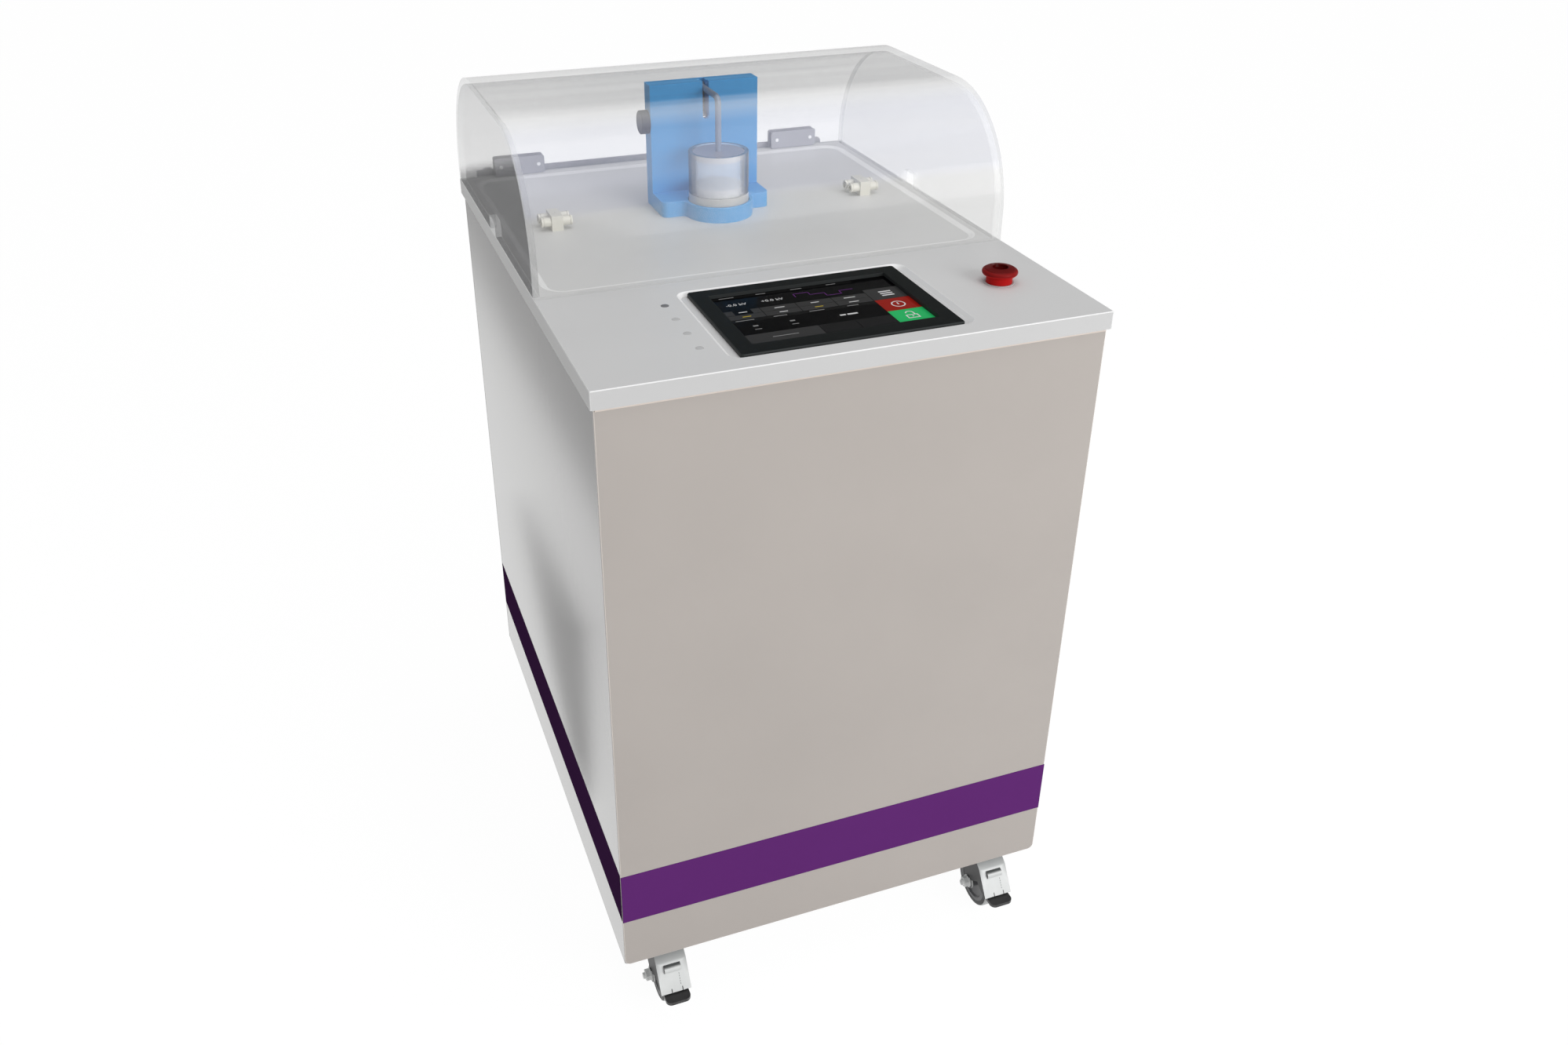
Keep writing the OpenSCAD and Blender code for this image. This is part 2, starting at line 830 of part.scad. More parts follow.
// Outline of the stand's base, with fillets where the boss meets the front edge
module base_outline() {
    fillet_y = base_front_y - boss_fillet + bite;
    reach = sqrt(pow(boss_r + boss_fillet - bite, 2) - pow(chamber_y - fillet_y, 2));
    difference() {
        union() {
            translate([-stand_w / 2, base_front_y + base_r])
                square([stand_w, stand_face_y - base_front_y - base_r]);
            translate([-stand_w / 2 + base_r, base_front_y])
                square([stand_w - 2 * base_r, 2 * base_r]);
            for (s = [-1, 1])
                translate([s * (stand_w / 2 - base_r), base_front_y + base_r])
                    circle(base_r);
            translate([chamber_x, chamber_y])
                circle(boss_r);
            for (s = [-1, 1])
                polygon([[chamber_x, base_front_y + cut], [chamber_x + s * reach, base_front_y + cut],
                         [chamber_x + s * reach, fillet_y], [chamber_x, chamber_y]]);
        }
        for (s = [-1, 1])
            translate([chamber_x + s * reach, fillet_y])
                circle(boss_fillet);
    }
}

module stand_base() {
    color("#7fb2d8")
        difference() {
            translate([0, 0, tray_floor])
                linear_extrude(top + base_h - tray_floor)
                    base_outline();
            translate([chamber_x, chamber_y, seat_z])
                cylinder(h = seat_depth + cut, r = glass_r + seat_gap);
            translate([chamber_x, chamber_y, tray_floor - cut])
                cylinder(h = top + base_h - tray_floor, r = stud_r + fit);
        }
}

// Upright plate of the stand between two depths
module stand_plate(y0, y1) {
    box([-stand_w / 2, y0, tray_floor], [stand_w / 2, y1, top + stand_h]);
}

// Groove for the pinion shaft, from the stand's left side past the pinion
module shaft_groove() {
    bar_x(-stand_w / 2 - cut, chamber_x + shaft_end + fit, pinion_y, top + pinion_z, shaft_r + run);
}

// Room that the pinion turns in
module pinion_room() {
    bar_x(chamber_x - slot_w / 2, chamber_x + slot_w / 2, pinion_y, top + pinion_z,
          pitch_r + addendum + pass);
}

module stand_front_plate() {
    color("#7aaad4")
        difference() {
            stand_plate(stand_face_y, stand_front_plate_y);
            translate([chamber_x, stand_face_y - cut, top + slot_foot + slot_w / 2])
                rotate([-90, 0, 0])
                    cylinder(h = stand_front_t + 2 * cut, r = slot_w / 2);
            box([chamber_x - slot_w / 2, stand_face_y - cut, top + slot_foot + slot_w / 2],
                [chamber_x + slot_w / 2, stand_front_plate_y + cut, top + stand_h + cut]);
            pinion_room();
        }
}

module stand_middle_plate() {
    color("#6f9fca")
        difference() {
            stand_plate(stand_front_plate_y, stand_mid_y);
            box([chamber_x - slot_w / 2, stand_front_plate_y - cut, top + pinion_z],
                [chamber_x + slot_w / 2, stand_mid_y + cut, top + stand_h + cut]);
            translate([chamber_x, stand_front_plate_y - cut, top + stand_h])
                rotate([-90, 0, 0])
                    cylinder(h = stand_mid_t + 2 * cut, r = slot_mouth_r);
            pinion_room();
            shaft_groove();
        }
}

module stand_rear_plate() {
    color("#7aaad4")
        difference() {
            stand_plate(stand_mid_y, stand_back_y);
            box([chamber_x - slot_w / 2, stand_mid_y - cut, top + rack_foot - lift_down - rack_spare],
                [chamber_x + slot_w / 2, rack_back_y + pass, top + stand_h + cut]);
            pinion_room();
            shaft_groove();
        }
}

module lower_electrode() {
    color("#b9bab8")
        translate([chamber_x, chamber_y, 0]) {
            translate([0, 0, seat_z])
                cylinder(h = top + glass_foot - seat_z, r = glass_r);
            translate([0, 0, top + glass_foot])
                cylinder(h = lower_face - glass_foot, r = electrode_r);
            translate([0, 0, stud_end])
                cylinder(h = seat_z - stud_end, r = stud_r);
        }
}

module glass_cylinder() {
    color("#dfe9ee", 0.35)
        translate([chamber_x, chamber_y, top + glass_foot])
            difference() {
                cylinder(h = glass_top - glass_foot, r = glass_r);
                translate([0, 0, -cut])
                    cylinder(h = glass_top - glass_foot + 2 * cut, r = glass_in_r);
            }
}

module upper_electrode() {
    color("#b9bab8")
        translate([chamber_x, chamber_y, top + upper_face])
            cylinder(h = upper_t, r = electrode_r);
}

module electrode_rod() {
    color("#8f8c90")
        translate([chamber_x, chamber_y, 0]) {
            foot = top + upper_face + upper_t;
            bend_z = top + rod_arm_z - rod_bend_r;
            translate([0, 0, foot])
                cylinder(h = bend_z - foot, r = rod_r);
            translate([0, rod_bend_r, bend_z])
                rotate([90, 0, -90])
                    rotate_extrude(angle = 90)
                        translate([rod_bend_r, 0])
                            circle(rod_r);
            translate([0, rod_bend_r, top + rod_arm_z])
                rotate([-90, 0, 0])
                    cylinder(h = rack_line_y - addendum - chamber_y - rod_bend_r, r = rod_r);
        }
}

// Half the angle that a pinion tooth covers at radius r
function involute(a) = tan(a) * 180 / PI - a;
function tooth_half(r) = 90 / gear_n - backlash * 90 / (PI * pitch_r) + involute(pressure_angle)
    - involute(acos(min(1, pitch_r * cos(pressure_angle) / r)));
function on_circle(r, a) = [r * cos(a), r * sin(a)];

// Pinion outline with one tooth pointing along its first axis
module pinion_outline() {
    steps = 6;
    base_r0 = pitch_r * cos(pressure_angle);
    root_r = pitch_r - dedendum;
    tip_r = pitch_r + addendum;
    radii = [for (k = [0 : steps]) base_r0 + (tip_r - base_r0) * k / steps];
    polygon([
        for (i = [0 : gear_n - 1])
            let (mid = i * 360 / gear_n)
                each concat(
                    [on_circle(root_r, mid - tooth_half(base_r0))],
                    [for (k = [0 : steps]) on_circle(radii[k], mid - tooth_half(radii[k]))],
                    [for (k = [steps : -1 : 0]) on_circle(radii[k], mid + tooth_half(radii[k]))],
                    [on_circle(root_r, mid + tooth_half(base_r0))])
    ]);
}

module pinion_shaft() {
    color("#9fa3a6") {
        translate([chamber_x - gear_w / 2, pinion_y, top + pinion_z])
            rotate([90, 0, 90])
                linear_extrude(gear_w)
                    pinion_outline();
        bar_x(-stand_w / 2 - knob_l + knob_end_t, chamber_x - gear_w / 2, pinion_y, top + pinion_z,
              shaft_r);
        bar_x(chamber_x + gear_w / 2, chamber_x + shaft_end, pinion_y, top + pinion_z, shaft_r);
    }
}

module lift_rack() {
    pitch = PI * gear_m;
    half_space = pitch / 4 + backlash / 2;
    slope = tan(pressure_angle);
    tip = addendum + tooth_over;
    first = ceil((rack_foot - pinion_z) / pitch);
    last = floor((rack_top - rack_head_h - pinion_z) / pitch);
    color("#9fa3a6")
        difference() {
            box([chamber_x - gear_w / 2, rack_line_y - addendum, top + rack_foot],
                [chamber_x + gear_w / 2, rack_back_y, top + rack_top]);
            along_x(chamber_x - gear_w / 2 - cut, chamber_x + gear_w / 2 + cut)
                for (k = [first : last])
                    translate([rack_line_y, top + pinion_z + k * pitch])
                        polygon([[-tip, -half_space - tip * slope], [-tip, half_space + tip * slope],
                                 [dedendum, half_space - dedendum * slope],
                                 [dedendum, -half_space + dedendum * slope]]);
        }
}

module lift_knob() {
    x1 = -stand_w / 2 - pass;
    x0 = x1 - knob_l + pass;
    color("#8d8a8e")
        difference() {
            translate([x0, pinion_y, top + pinion_z])
                rotate([0, 90, 0])
                    rotate_extrude()
                        polygon([[0, 0], [knob_r - knob_chamfer, 0], [knob_r, knob_chamfer],
                                 [knob_r, x1 - x0], [0, x1 - x0]]);
            bar_x(x0 + knob_end_t, x1 + cut, pinion_y, top + pinion_z, shaft_r);
        }
}

// One tube port: barrel with a groove and an end lip, pointing along +X
module port_barrel() {
    rotate([0, 90, 0])
        rotate_extrude()
            polygon([[0, 0], [port_r, 0], [port_r, port_l - 3 * port_groove],
                     [port_r - port_groove / 2, port_l - 3 * port_groove],
                     [port_r - port_groove / 2, port_l - 2 * port_groove],
                     [port_r + port_lip, port_l - 2 * port_groove],
                     [port_r + port_lip, port_l - port_lip], [port_r, port_l], [0, port_l]]);
}

module fitting(x) {
    half = fitting_w / 2;
    color("#d5d3c8")
        translate([x, fitting_y, 0])
            difference() {
                union() {
                    translate([-half, -fitting_d / 2, tray_floor])
                        cube([fitting_w, fitting_d, top + fitting_h - tray_floor]);
                    for (s = [0, 1], t = [-1, 1])
                        mirror([s, 0, 0])
                            translate([half, t * port_pitch / 2, top + port_z])
                                port_barrel();
                }
                for (s = [0, 1], t = [-1, 1])
                    mirror([s, 0, 0])
                        bar_x(half + port_l - port_bore_l, half + port_l + cut,
                              t * port_pitch / 2, top + port_z, port_bore_r);
                for (t = [-1, 1])
                    bar_x(-half, half, t * port_pitch / 2, top + port_z, port_bore_r - port_shoulder);
                translate([0, 0, top + fitting_h - dimple_h])
                    cylinder(h = dimple_h + cut, r = dimple_r);
            }
}

module fitting_left() {
    fitting(-fitting_x);
}

module fitting_right() {
    fitting(fitting_x);
}

// Hinge pin and rail knuckle positions along X
module at_hinges() {
    for (s = [-1, 1])
        translate([s * hinge_x, 0, 0])
            children();
}

module hinge_rail() {
    notch_floor = hinge_z - knuckle_r - knuckle_room;
    color("#a9acae") {
        difference() {
            union() {
                box([rail_left, rail_y, top + rail_foot],
                    [rail_right - rail_end_r, rail_y + rail_t, top + rail_top]);
                box([rail_right - rail_end_r, rail_y, top + rail_foot],
                    [rail_right, rail_y + rail_t, top + rail_top - rail_end_r]);
                translate([rail_right - rail_end_r, rail_y, top + rail_top - rail_end_r])
                    rotate([-90, 0, 0])
                        cylinder(h = rail_t, r = rail_end_r);
                box([rail_left + rail_tab_w, rail_y, top + rail_top],
                    [rail_left + 2 * rail_tab_w, rail_y + rail_t, top + rail_top + rail_tab_h]);
                at_hinges()
                    for (s = [0, 1])
                        mirror([s, 0, 0])
                            bar_x(knuckle_w / 2 + fit, knuckle_w / 2 + rail_knuckle_w, hinge_y,
                                  hinge_z, knuckle_r);
                at_hinges()
                    box([-knuckle_w / 2, cover_d / 2, top + rail_foot],
                        [knuckle_w / 2, rail_y, top + rail_foot + rail_pad_h]);
            }
            at_hinges()
                box([-knuckle_w / 2 - fit, rail_y - cut, notch_floor],
                    [knuckle_w / 2 + fit, rail_y + rail_t + cut, hinge_z + knuckle_r + cut]);
            at_hinges()
                bar_x(-knuckle_w, knuckle_w, hinge_y, hinge_z, hinge_pin_r);
        }
        at_hinges()
            bar_x(-knuckle_w / 2 - rail_knuckle_w - pin_out, knuckle_w / 2 + rail_knuckle_w + pin_out,
                  hinge_y, hinge_z, hinge_pin_r);
    }
}

// Round-cornered hinge plate standing in the XZ plane, its front face at y
module hinge_plate(y) {
    translate([0, y + hinge_plate_t, top + hinge_lift + (hinge_plate_h - hinge_lift) / 2])
        rotate([90, 0, 0])
            linear_extrude(hinge_plate_t)
                difference() {
                    round_rect(hinge_plate_w, hinge_plate_h - hinge_lift, plate_corner_r);
                    for (s = [-1, 1])
                        translate([s * hinge_screw_pitch / 2,
                                   hinge_screw_z - hinge_lift - (hinge_plate_h - hinge_lift) / 2])
                            circle(screw_shank_r);
                }
}

module hinge_clamps() {
    color("#a4a4ac")
        at_hinges() {
            hinge_plate(clamp_y - hinge_plate_t);
            hinge_plate(hood_back);
            difference() {
                union() {
                    bar_x(-knuckle_w / 2, knuckle_w / 2, hinge_y, hinge_z, knuckle_r);
                    box([-knuckle_w / 2, hood_back + hinge_plate_t, hinge_z - knuckle_r],
                        [knuckle_w / 2, hinge_y, hinge_z + knuckle_r]);
                }
                bar_x(-knuckle_w, knuckle_w, hinge_y, hinge_z, hinge_pin_r + run);
            }
        }
}

module hinge_screws() {
    y0 = clamp_y - hinge_plate_t;
    y1 = hood_back + hinge_plate_t - screw_sunk;
    color("#c9c9cd")
        at_hinges()
            for (s = [-1, 1])
                translate([s * hinge_screw_pitch / 2, y0, top + hinge_screw_z])
                    rotate([-90, 0, 0]) {
                        translate([0, 0, -screw_head_t])
                            cylinder(h = screw_head_t, r = screw_head_r);
                        cylinder(h = y1 - y0, r = screw_shank_r);
                    }
}

// Side outline of the hood, drawn in by inset from its outer face
module hood_outline(inset) {
    intersection() {
        union() {
            translate([hood_front + hood_front_r, hood_h - hood_front_r])
                circle(hood_front_r - inset, $fn = 240);
            translate([hood_back - hood_back_r, hood_h - hood_back_r])
                circle(hood_back_r - inset, $fn = 240);
            translate([hood_front + inset, -cut])
                square([hood_front_r, hood_h - hood_front_r + cut]);
            translate([hood_back - hood_back_r, -cut])
                square([hood_back_r - inset, hood_h - hood_back_r + cut]);
            translate([hood_front + hood_front_r, -cut])
                square([hood_d - hood_front_r - hood_back_r, hood_h + cut - inset]);
        }
        translate([hood_front - cut, inset > 0 ? -cut : 0])
            square([hood_d + 2 * cut, hood_h + 2 * cut]);
    }
}

module hood_screw_holes() {
    at_hinges()
        for (s = [-1, 1])
            translate([s * hinge_screw_pitch / 2, hood_back - hood_t - cut, top + hinge_screw_z])
                rotate([-90, 0, 0])
                    cylinder(h = hood_t + 2 * cut, r = screw_shank_r + fit);
}

module hood_canopy() {
    color("#e4e6e8", 0.35)
        difference() {
            translate([0, 0, top])
                along_x(-hood_w / 2, hood_w / 2)
                    difference() {
                        hood_outline(0);
                        hood_outline(hood_t);
                    }
            hood_screw_holes();
        }
}

module hood_end() {
    color("#dfe2e4", 0.35)
        translate([0, 0, top])
            along_x(hood_w / 2 - hood_t, hood_w / 2)
                difference() {
                    intersection() {
                        hood_outline(hood_t);
                        translate([hood_front, 0])
                            square([hood_d, hood_h]);
                    }
                    translate([fitting_y - tube_slot_w / 2, -cut])
                        square([tube_slot_w, tube_slot_h - tube_slot_r + cut]);
                    translate([fitting_y - tube_slot_w / 2 + tube_slot_r, -cut])
                        square([tube_slot_w - 2 * tube_slot_r, tube_slot_h + cut]);
                    for (s = [-1, 1])
                        translate([fitting_y + s * (tube_slot_w / 2 - tube_slot_r),
                                   tube_slot_h - tube_slot_r])
                            circle(tube_slot_r);
                }
}

module hood_end_left() {
    mirror([1, 0, 0])
        hood_end();
}

module hood_end_right() {
    hood_end();
}

module pulse_generator() {
    color("#8c9196")
        translate([chamber_x - pulse_size[0] / 2, pulse_y, room_z])
            cube(pulse_size);
}

module capacitor_bank() {
    color("#4b6f96")
        for (i = [0, 1], j = [0, 1])
            translate([capacitor_x + i * capacitor_pitch, capacitor_y + j * capacitor_pitch, room_z]) {
                cylinder(h = capacitor_h, r = capacitor_r);
                translate([0, 0, capacitor_h])
                    cylinder(h = terminal_h, r = terminal_r);
            }
}

module power_supply() {
    color("#a7a9ab")
        translate([supply_x, supply_y, room_z])
            cube(supply_size);
}

module control_board() {
    x0 = supply_x + (supply_size[0] - board_w) / 2;
    y0 = supply_y + (supply_size[1] - board_d) / 2;
    color("#2f6b45")
        translate([x0, y0, room_z + supply_size[2]]) {
            translate([0, 0, board_rise])
                cube([board_w, board_d, board_t]);
            for (x = [board_edge, board_w - board_edge], y = [board_edge, board_d - board_edge])
                translate([x, y, 0])
                    cylinder(h = board_rise, r = standoff_r);
            translate([(board_w - chip_w) / 2, (board_d - chip_w) / 2, board_rise + board_t])
                cube([chip_w, chip_w, chip_h]);
        }
}

module hv_lead() {
    color("#b5462f")
        translate([chamber_x, chamber_y, 0])
            difference() {
                union() {
                    translate([0, 0, pulse_top])
                        cylinder(h = tray_floor - pulse_top, r = sleeve_r);
                    translate([0, 0, pulse_top])
                        cylinder(h = sleeve_foot_h, r = sleeve_foot_r);
                    translate([0, 0, top - cover_plate_t - sleeve_flange_h])
                        cylinder(h = sleeve_flange_h, r = sleeve_flange_r);
                }
                translate([0, 0, stud_end])
                    cylinder(h = top, r = stud_r + run);
            }
}

module fan_shroud() {
    color("#2b2d2f")
        translate([0, fan_y + fan_d, fan_z])
            rotate([90, 0, 0])
                difference() {
                    round_block(fan_w, fan_w, fan_d, skirt_r);
                    difference() {
                        translate([0, 0, -cut])
                            cylinder(h = fan_d + 2 * cut, r = rotor_r + 1);
                        for (a = [0 : 90 : 270])
                            rotate(a + 45)
                                translate([0, -strut_w / 2, -cut])
                                    cube([fan_w, strut_w, strut_t + cut]);
                        cylinder(h = strut_t, r = fan_hub_r);
                    }
                    translate([0, 0, -cut])
                        cylinder(h = fan_d, r = fan_pin_r + run);
                }
}

module fan_rotor() {
    hub_r = fan_hub_r - 2;
    color("#3a3d40")
        translate([0, fan_y + fan_d, fan_z])
            rotate([90, 0, 0]) {
                translate([0, 0, strut_t - 2])
                    cylinder(h = 2 + pass, r = fan_pin_r);
                translate([0, 0, strut_t + pass])
                    cylinder(h = fan_d - strut_t - 1, r = hub_r);
                for (a = [0 : blade_n - 1])
                    rotate(a * 360 / blade_n)
                        translate([hub_r - 2, -blade_t / 2, blade_z])
                            rotate([blade_pitch, 0, 0])
                                cube([rotor_r - hub_r + 1.5, blade_t, blade_l]);
            }
}

module mains_inlet() {
    y = body_d / 2;
    color("#1e1f20")
        translate([inlet_x, y, inlet_z]) {
            difference() {
                union() {
                    translate([-inlet_w / 2 - inlet_flange, 0, -inlet_h / 2 - inlet_flange])
                        cube([inlet_w + 2 * inlet_flange, inlet_lip, inlet_h + 2 * inlet_flange]);
                    translate([-inlet_w / 2, -inlet_body_d, -inlet_h / 2])
                        cube([inlet_w, inlet_body_d, inlet_h]);
                }
                translate([-socket_w / 2, inlet_lip - socket_d, socket_up - socket_h / 2])
                    cube([socket_w, socket_d + cut, socket_h]);
                translate([-well_w / 2, inlet_lip - well_d, -switch_down - well_h / 2])
                    cube([well_w, well_d + cut, well_h]);
            }
            for (x = [-1, 0, 1])
                translate([x * prong_pitch - 1, inlet_lip - socket_d, socket_up - 2 + (x == 0 ? 3 : -3)])
                    cube([2, prong_l, 4]);
            for (s = [0, 1])
                mirror([s, 0, 0])
                    bar_x(switch_w / 2 - axle_in, well_w / 2 + cut, inlet_lip - rocker_sunk,
                          -switch_down, rocker_pin_r);
        }
}

module mains_switch() {
    half = switch_h / 2 - rocker_play;
    color("#27292b")
        translate([inlet_x, body_d / 2 + inlet_lip - rocker_sunk, inlet_z - switch_down])
            rotate([switch_tilt, 0, 0])
                difference() {
                    along_x(-switch_w / 2, switch_w / 2)
                        polygon([[-2.5, -half], [6.5, -half], [4.6, 0], [6.5, half], [-2.5, half]]);
                    for (s = [0, 1])
                        mirror([s, 0, 0])
                            bar_x(switch_w / 2 - axle_in - run, switch_w / 2 + cut, 0, 0,
                                  rocker_pin_r + run);
                }
}

// Casters in order: front left, front right, rear left, rear right.
// A caster is drawn about its swivel axis with its wheel towards the front.
module at_caster(i) {
    sx = i % 2 == 0 ? -1 : 1;
    sy = i < 2 ? -1 : 1;
    translate([sx * caster_x, sy * caster_y, 0])
        rotate(sy < 0 ? 0 : 180)
            children();
}

module caster_plates() {
    color("#d6d8d8")
        for (i = [0 : 3])
            at_caster(i) {
                translate([0, 0, caster_h - plate_t])
                    round_block(plate_w, plate_w, plate_t, plate_r);
                translate([0, 0, fork_top + pass])
                    cylinder(h = caster_h - plate_t - fork_top - pass, r = cup_r);
                translate([0, 0, fork_top - fork_t - pass])
                    cylinder(h = fork_t + 2 * pass, r = swivel_r);
                translate([0, 0, fork_top - fork_t - pass - rivet_t])
                    cylinder(h = rivet_t, r = rivet_r);
            }
}

// Side of the caster housing: top, rounded shoulder, sloped front, lip and axle boss
module fork_side() {
    difference() {
        union() {
            polygon([[swivel_back, fork_top - skirt_drop], [swivel_back, fork_top],
                     [shoulder_y, fork_top], [knee_y, knee_z], [lip_y, lip_z],
                     [lip_y + 3, lip_z - 4], [lip_y + 25, lip_z + 9],
                     [-caster_trail - 8, axle_z + 8], [-caster_trail + 9, axle_z + 6]]);
            translate([-caster_trail, axle_z])
                circle(boss_axle_r);
        }
        translate([-caster_trail, axle_z])
            circle(axle_r + run);
        translate([pedal_pin_y, pedal_pin_z])
            circle(pedal_pin_r + run);
    }
}

// Bent top and sloped front of the caster housing
module fork_shell() {
    polygon([[swivel_back, fork_top], [shoulder_y, fork_top], [knee_y, knee_z], [lip_y, lip_z],
             [lip_y + fork_t, lip_z - 1.2], [knee_y + fork_t, knee_z - fork_t],
             [shoulder_y + 1, fork_top - fork_t], [swivel_back, fork_top - fork_t]]);
}

module caster_fork() {
    half = fork_w / 2;
    color("#d9dcda") {
        difference() {
            union() {
                for (s = [0, 1])
                    mirror([s, 0, 0])
                        along_x(fork_in, half)
                            fork_side();
                along_x(-fork_in, fork_in)
                    fork_shell();
                bar_x(-11, 11, lip_y + 18.6, lip_z + 24.5, 5.5);
            }
            translate([0, 0, fork_top - fork_t - cut])
                cylinder(h = fork_t + 2 * cut, r = swivel_r + run);
        }
        bar_x(-half - washer_t - nut_t - thread_out, half + nut_t, -caster_trail, axle_z, axle_r);
        difference() {
            union() {
                bar_x(-half - washer_t, -half, -caster_trail, axle_z, washer_r);
                translate([-half - washer_t - nut_t, -caster_trail, axle_z])
                    rotate([0, 90, 0])
                        cylinder(h = nut_t, r = nut_r, $fn = 6);
                translate([half, -caster_trail, axle_z])
                    rotate([0, 90, 0])
                        cylinder(h = nut_t - 1, r = nut_r, $fn = 6);
            }
            bar_x(-fork_w, fork_w, -caster_trail, axle_z, axle_r);
        }
        bar_x(-half, half, pedal_pin_y, pedal_pin_z, pedal_pin_r);
    }
}

// Turned about the axle: outline points are [radius, distance along the axle]
module about_axle() {
    translate([0, -caster_trail, axle_z])
        rotate([0, 90, 0])
            rotate_extrude()
                children();
}

module caster_hub() {
    h = wheel_w / 2;
    b = fork_in - pass;
    color("#5a5b5c")
        about_axle()
            polygon([[axle_r + run, -b], [hub_eye_r, -b], [hub_eye_foot_r, -h + eye_sunk],
                     [hub_disc_r, -h + disc_sunk], [hub_rim_r, -h + rim_sunk],
                     [hub_r, -h + rim_sunk], [hub_r, h - rim_sunk], [hub_rim_r, h - rim_sunk],
                     [hub_disc_r, h - disc_sunk], [hub_eye_foot_r, h - eye_sunk], [hub_eye_r, b],
                     [axle_r + run, b]]);
}

module caster_tyre() {
    h = wheel_w / 2;
    color("#cfd2d2")
        about_axle()
            polygon([[hub_r, -h], [wheel_r - flank, -h], [wheel_r - tread_edge, -h + tread_edge],
                     [wheel_r, -h + tread_crown], [wheel_r, h - tread_crown],
                     [wheel_r - tread_edge, h - tread_edge], [wheel_r - flank, h], [hub_r, h]]);
}

module caster_pedal() {
    tip = pedal_pin_y - pedal_reach;
    half = pedal_w / 2;
    z1 = lip_z - 2;
    z0 = z1 - pedal_t;
    color("#2c2c2c")
        difference() {
            union() {
                bar_x(-half, half, pedal_pin_y, pedal_pin_z, pedal_eye_r);
                box([-half, pedal_pin_y - pedal_eye_r, z1 - 1.5], [half, pedal_pin_y + 1.2, pedal_pin_z]);
                box([-half, tip + pedal_tip_d / 2, z0], [half, pedal_pin_y + 0.8, z1]);
                translate([0, tip + pedal_tip_d / 2, z0])
                    linear_extrude(pedal_t)
                        round_rect(pedal_w, pedal_tip_d, pedal_tip_r);
            }
            bar_x(-pedal_w, pedal_w, pedal_pin_y, pedal_pin_z, pedal_pin_r + run);
        }
}

top_cover();
front_panel();
left_panel();
right_panel();
rear_panel();
bottom_panel();
stripe_band();
frame();
touch_bezel();
touch_screen();
touch_housing();
status_lights();
estop_barrel();
estop_stem();
estop_head();
stand_base();
stand_front_plate();
stand_middle_plate();
stand_rear_plate();
lower_electrode();
glass_cylinder();
upper_electrode();
electrode_rod();
lift_rack();
pinion_shaft();
lift_knob();
fitting_left();
fitting_right();
hinge_rail();
hinge_clamps();
hinge_screws();
hood_canopy();
hood_end_left();
hood_end_right();
pulse_generator();
capacitor_bank();
power_supply();
control_board();
hv_lead();
fan_shroud();
fan_rotor();
mains_inlet();
mains_switch();
caster_plates();
at_caster(0) caster_fork();  // caster_fl_fork
at_caster(0) caster_hub();  // caster_fl_hub
at_caster(0) caster_tyre();  // caster_fl_tyre
at_caster(0) caster_pedal();  // caster_fl_pedal
at_caster(1) caster_fork();  // caster_fr_fork
at_caster(1) caster_hub();  // caster_fr_hub
at_caster(1) caster_tyre();  // caster_fr_tyre
at_caster(1) caster_pedal();  // caster_fr_pedal
at_caster(2) caster_fork();  // caster_rl_fork
at_caster(2) caster_hub();  // caster_rl_hub
at_caster(2) caster_tyre();  // caster_rl_tyre
at_caster(2) caster_pedal();  // caster_rl_pedal
at_caster(3) caster_fork();  // caster_rr_fork
at_caster(3) caster_hub();  // caster_rr_hub
at_caster(3) caster_tyre();  // caster_rr_tyre
at_caster(3) caster_pedal();  // caster_rr_pedal
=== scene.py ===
import math

import bmesh
import bpy
from mathutils import Matrix, Vector


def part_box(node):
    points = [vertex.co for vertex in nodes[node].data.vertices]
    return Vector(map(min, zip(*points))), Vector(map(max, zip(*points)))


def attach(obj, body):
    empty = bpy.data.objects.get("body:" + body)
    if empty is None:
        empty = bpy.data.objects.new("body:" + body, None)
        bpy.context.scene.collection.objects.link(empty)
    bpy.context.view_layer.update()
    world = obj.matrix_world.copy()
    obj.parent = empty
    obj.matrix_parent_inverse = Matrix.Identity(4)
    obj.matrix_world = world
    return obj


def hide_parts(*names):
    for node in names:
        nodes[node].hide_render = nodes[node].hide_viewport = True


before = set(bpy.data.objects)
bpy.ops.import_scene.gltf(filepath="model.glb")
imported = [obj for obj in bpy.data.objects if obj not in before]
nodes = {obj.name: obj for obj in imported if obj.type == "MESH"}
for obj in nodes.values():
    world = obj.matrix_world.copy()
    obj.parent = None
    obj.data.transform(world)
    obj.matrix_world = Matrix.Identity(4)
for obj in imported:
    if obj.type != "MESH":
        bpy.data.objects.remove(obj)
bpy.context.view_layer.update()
MM = 0.001


# Tube frame: twelve square steel tubes, welded at the corners and sprayed with a grey primer.
# The primer is matt, with a dry, slightly uneven skin.
def feed(socket, value):
    """Gives a shader input its value, or links it to the output that makes the value."""
    if isinstance(value, bpy.types.NodeSocket):
        socket.id_data.links.new(value, socket)
    else:
        socket.default_value = value


def add(tree, kind, **inputs):
    """A new shader node with these inputs."""
    node = tree.nodes.new("ShaderNode" + kind)
    for name, value in inputs.items():
        feed(node.inputs[name.replace("_", " ")], value)
    return node


def new_material(name):
    """A material, its nodes and its shader."""
    made = bpy.data.materials.new(name)
    made.use_nodes = True
    return made, made.node_tree, made.node_tree.nodes["Principled BSDF"]


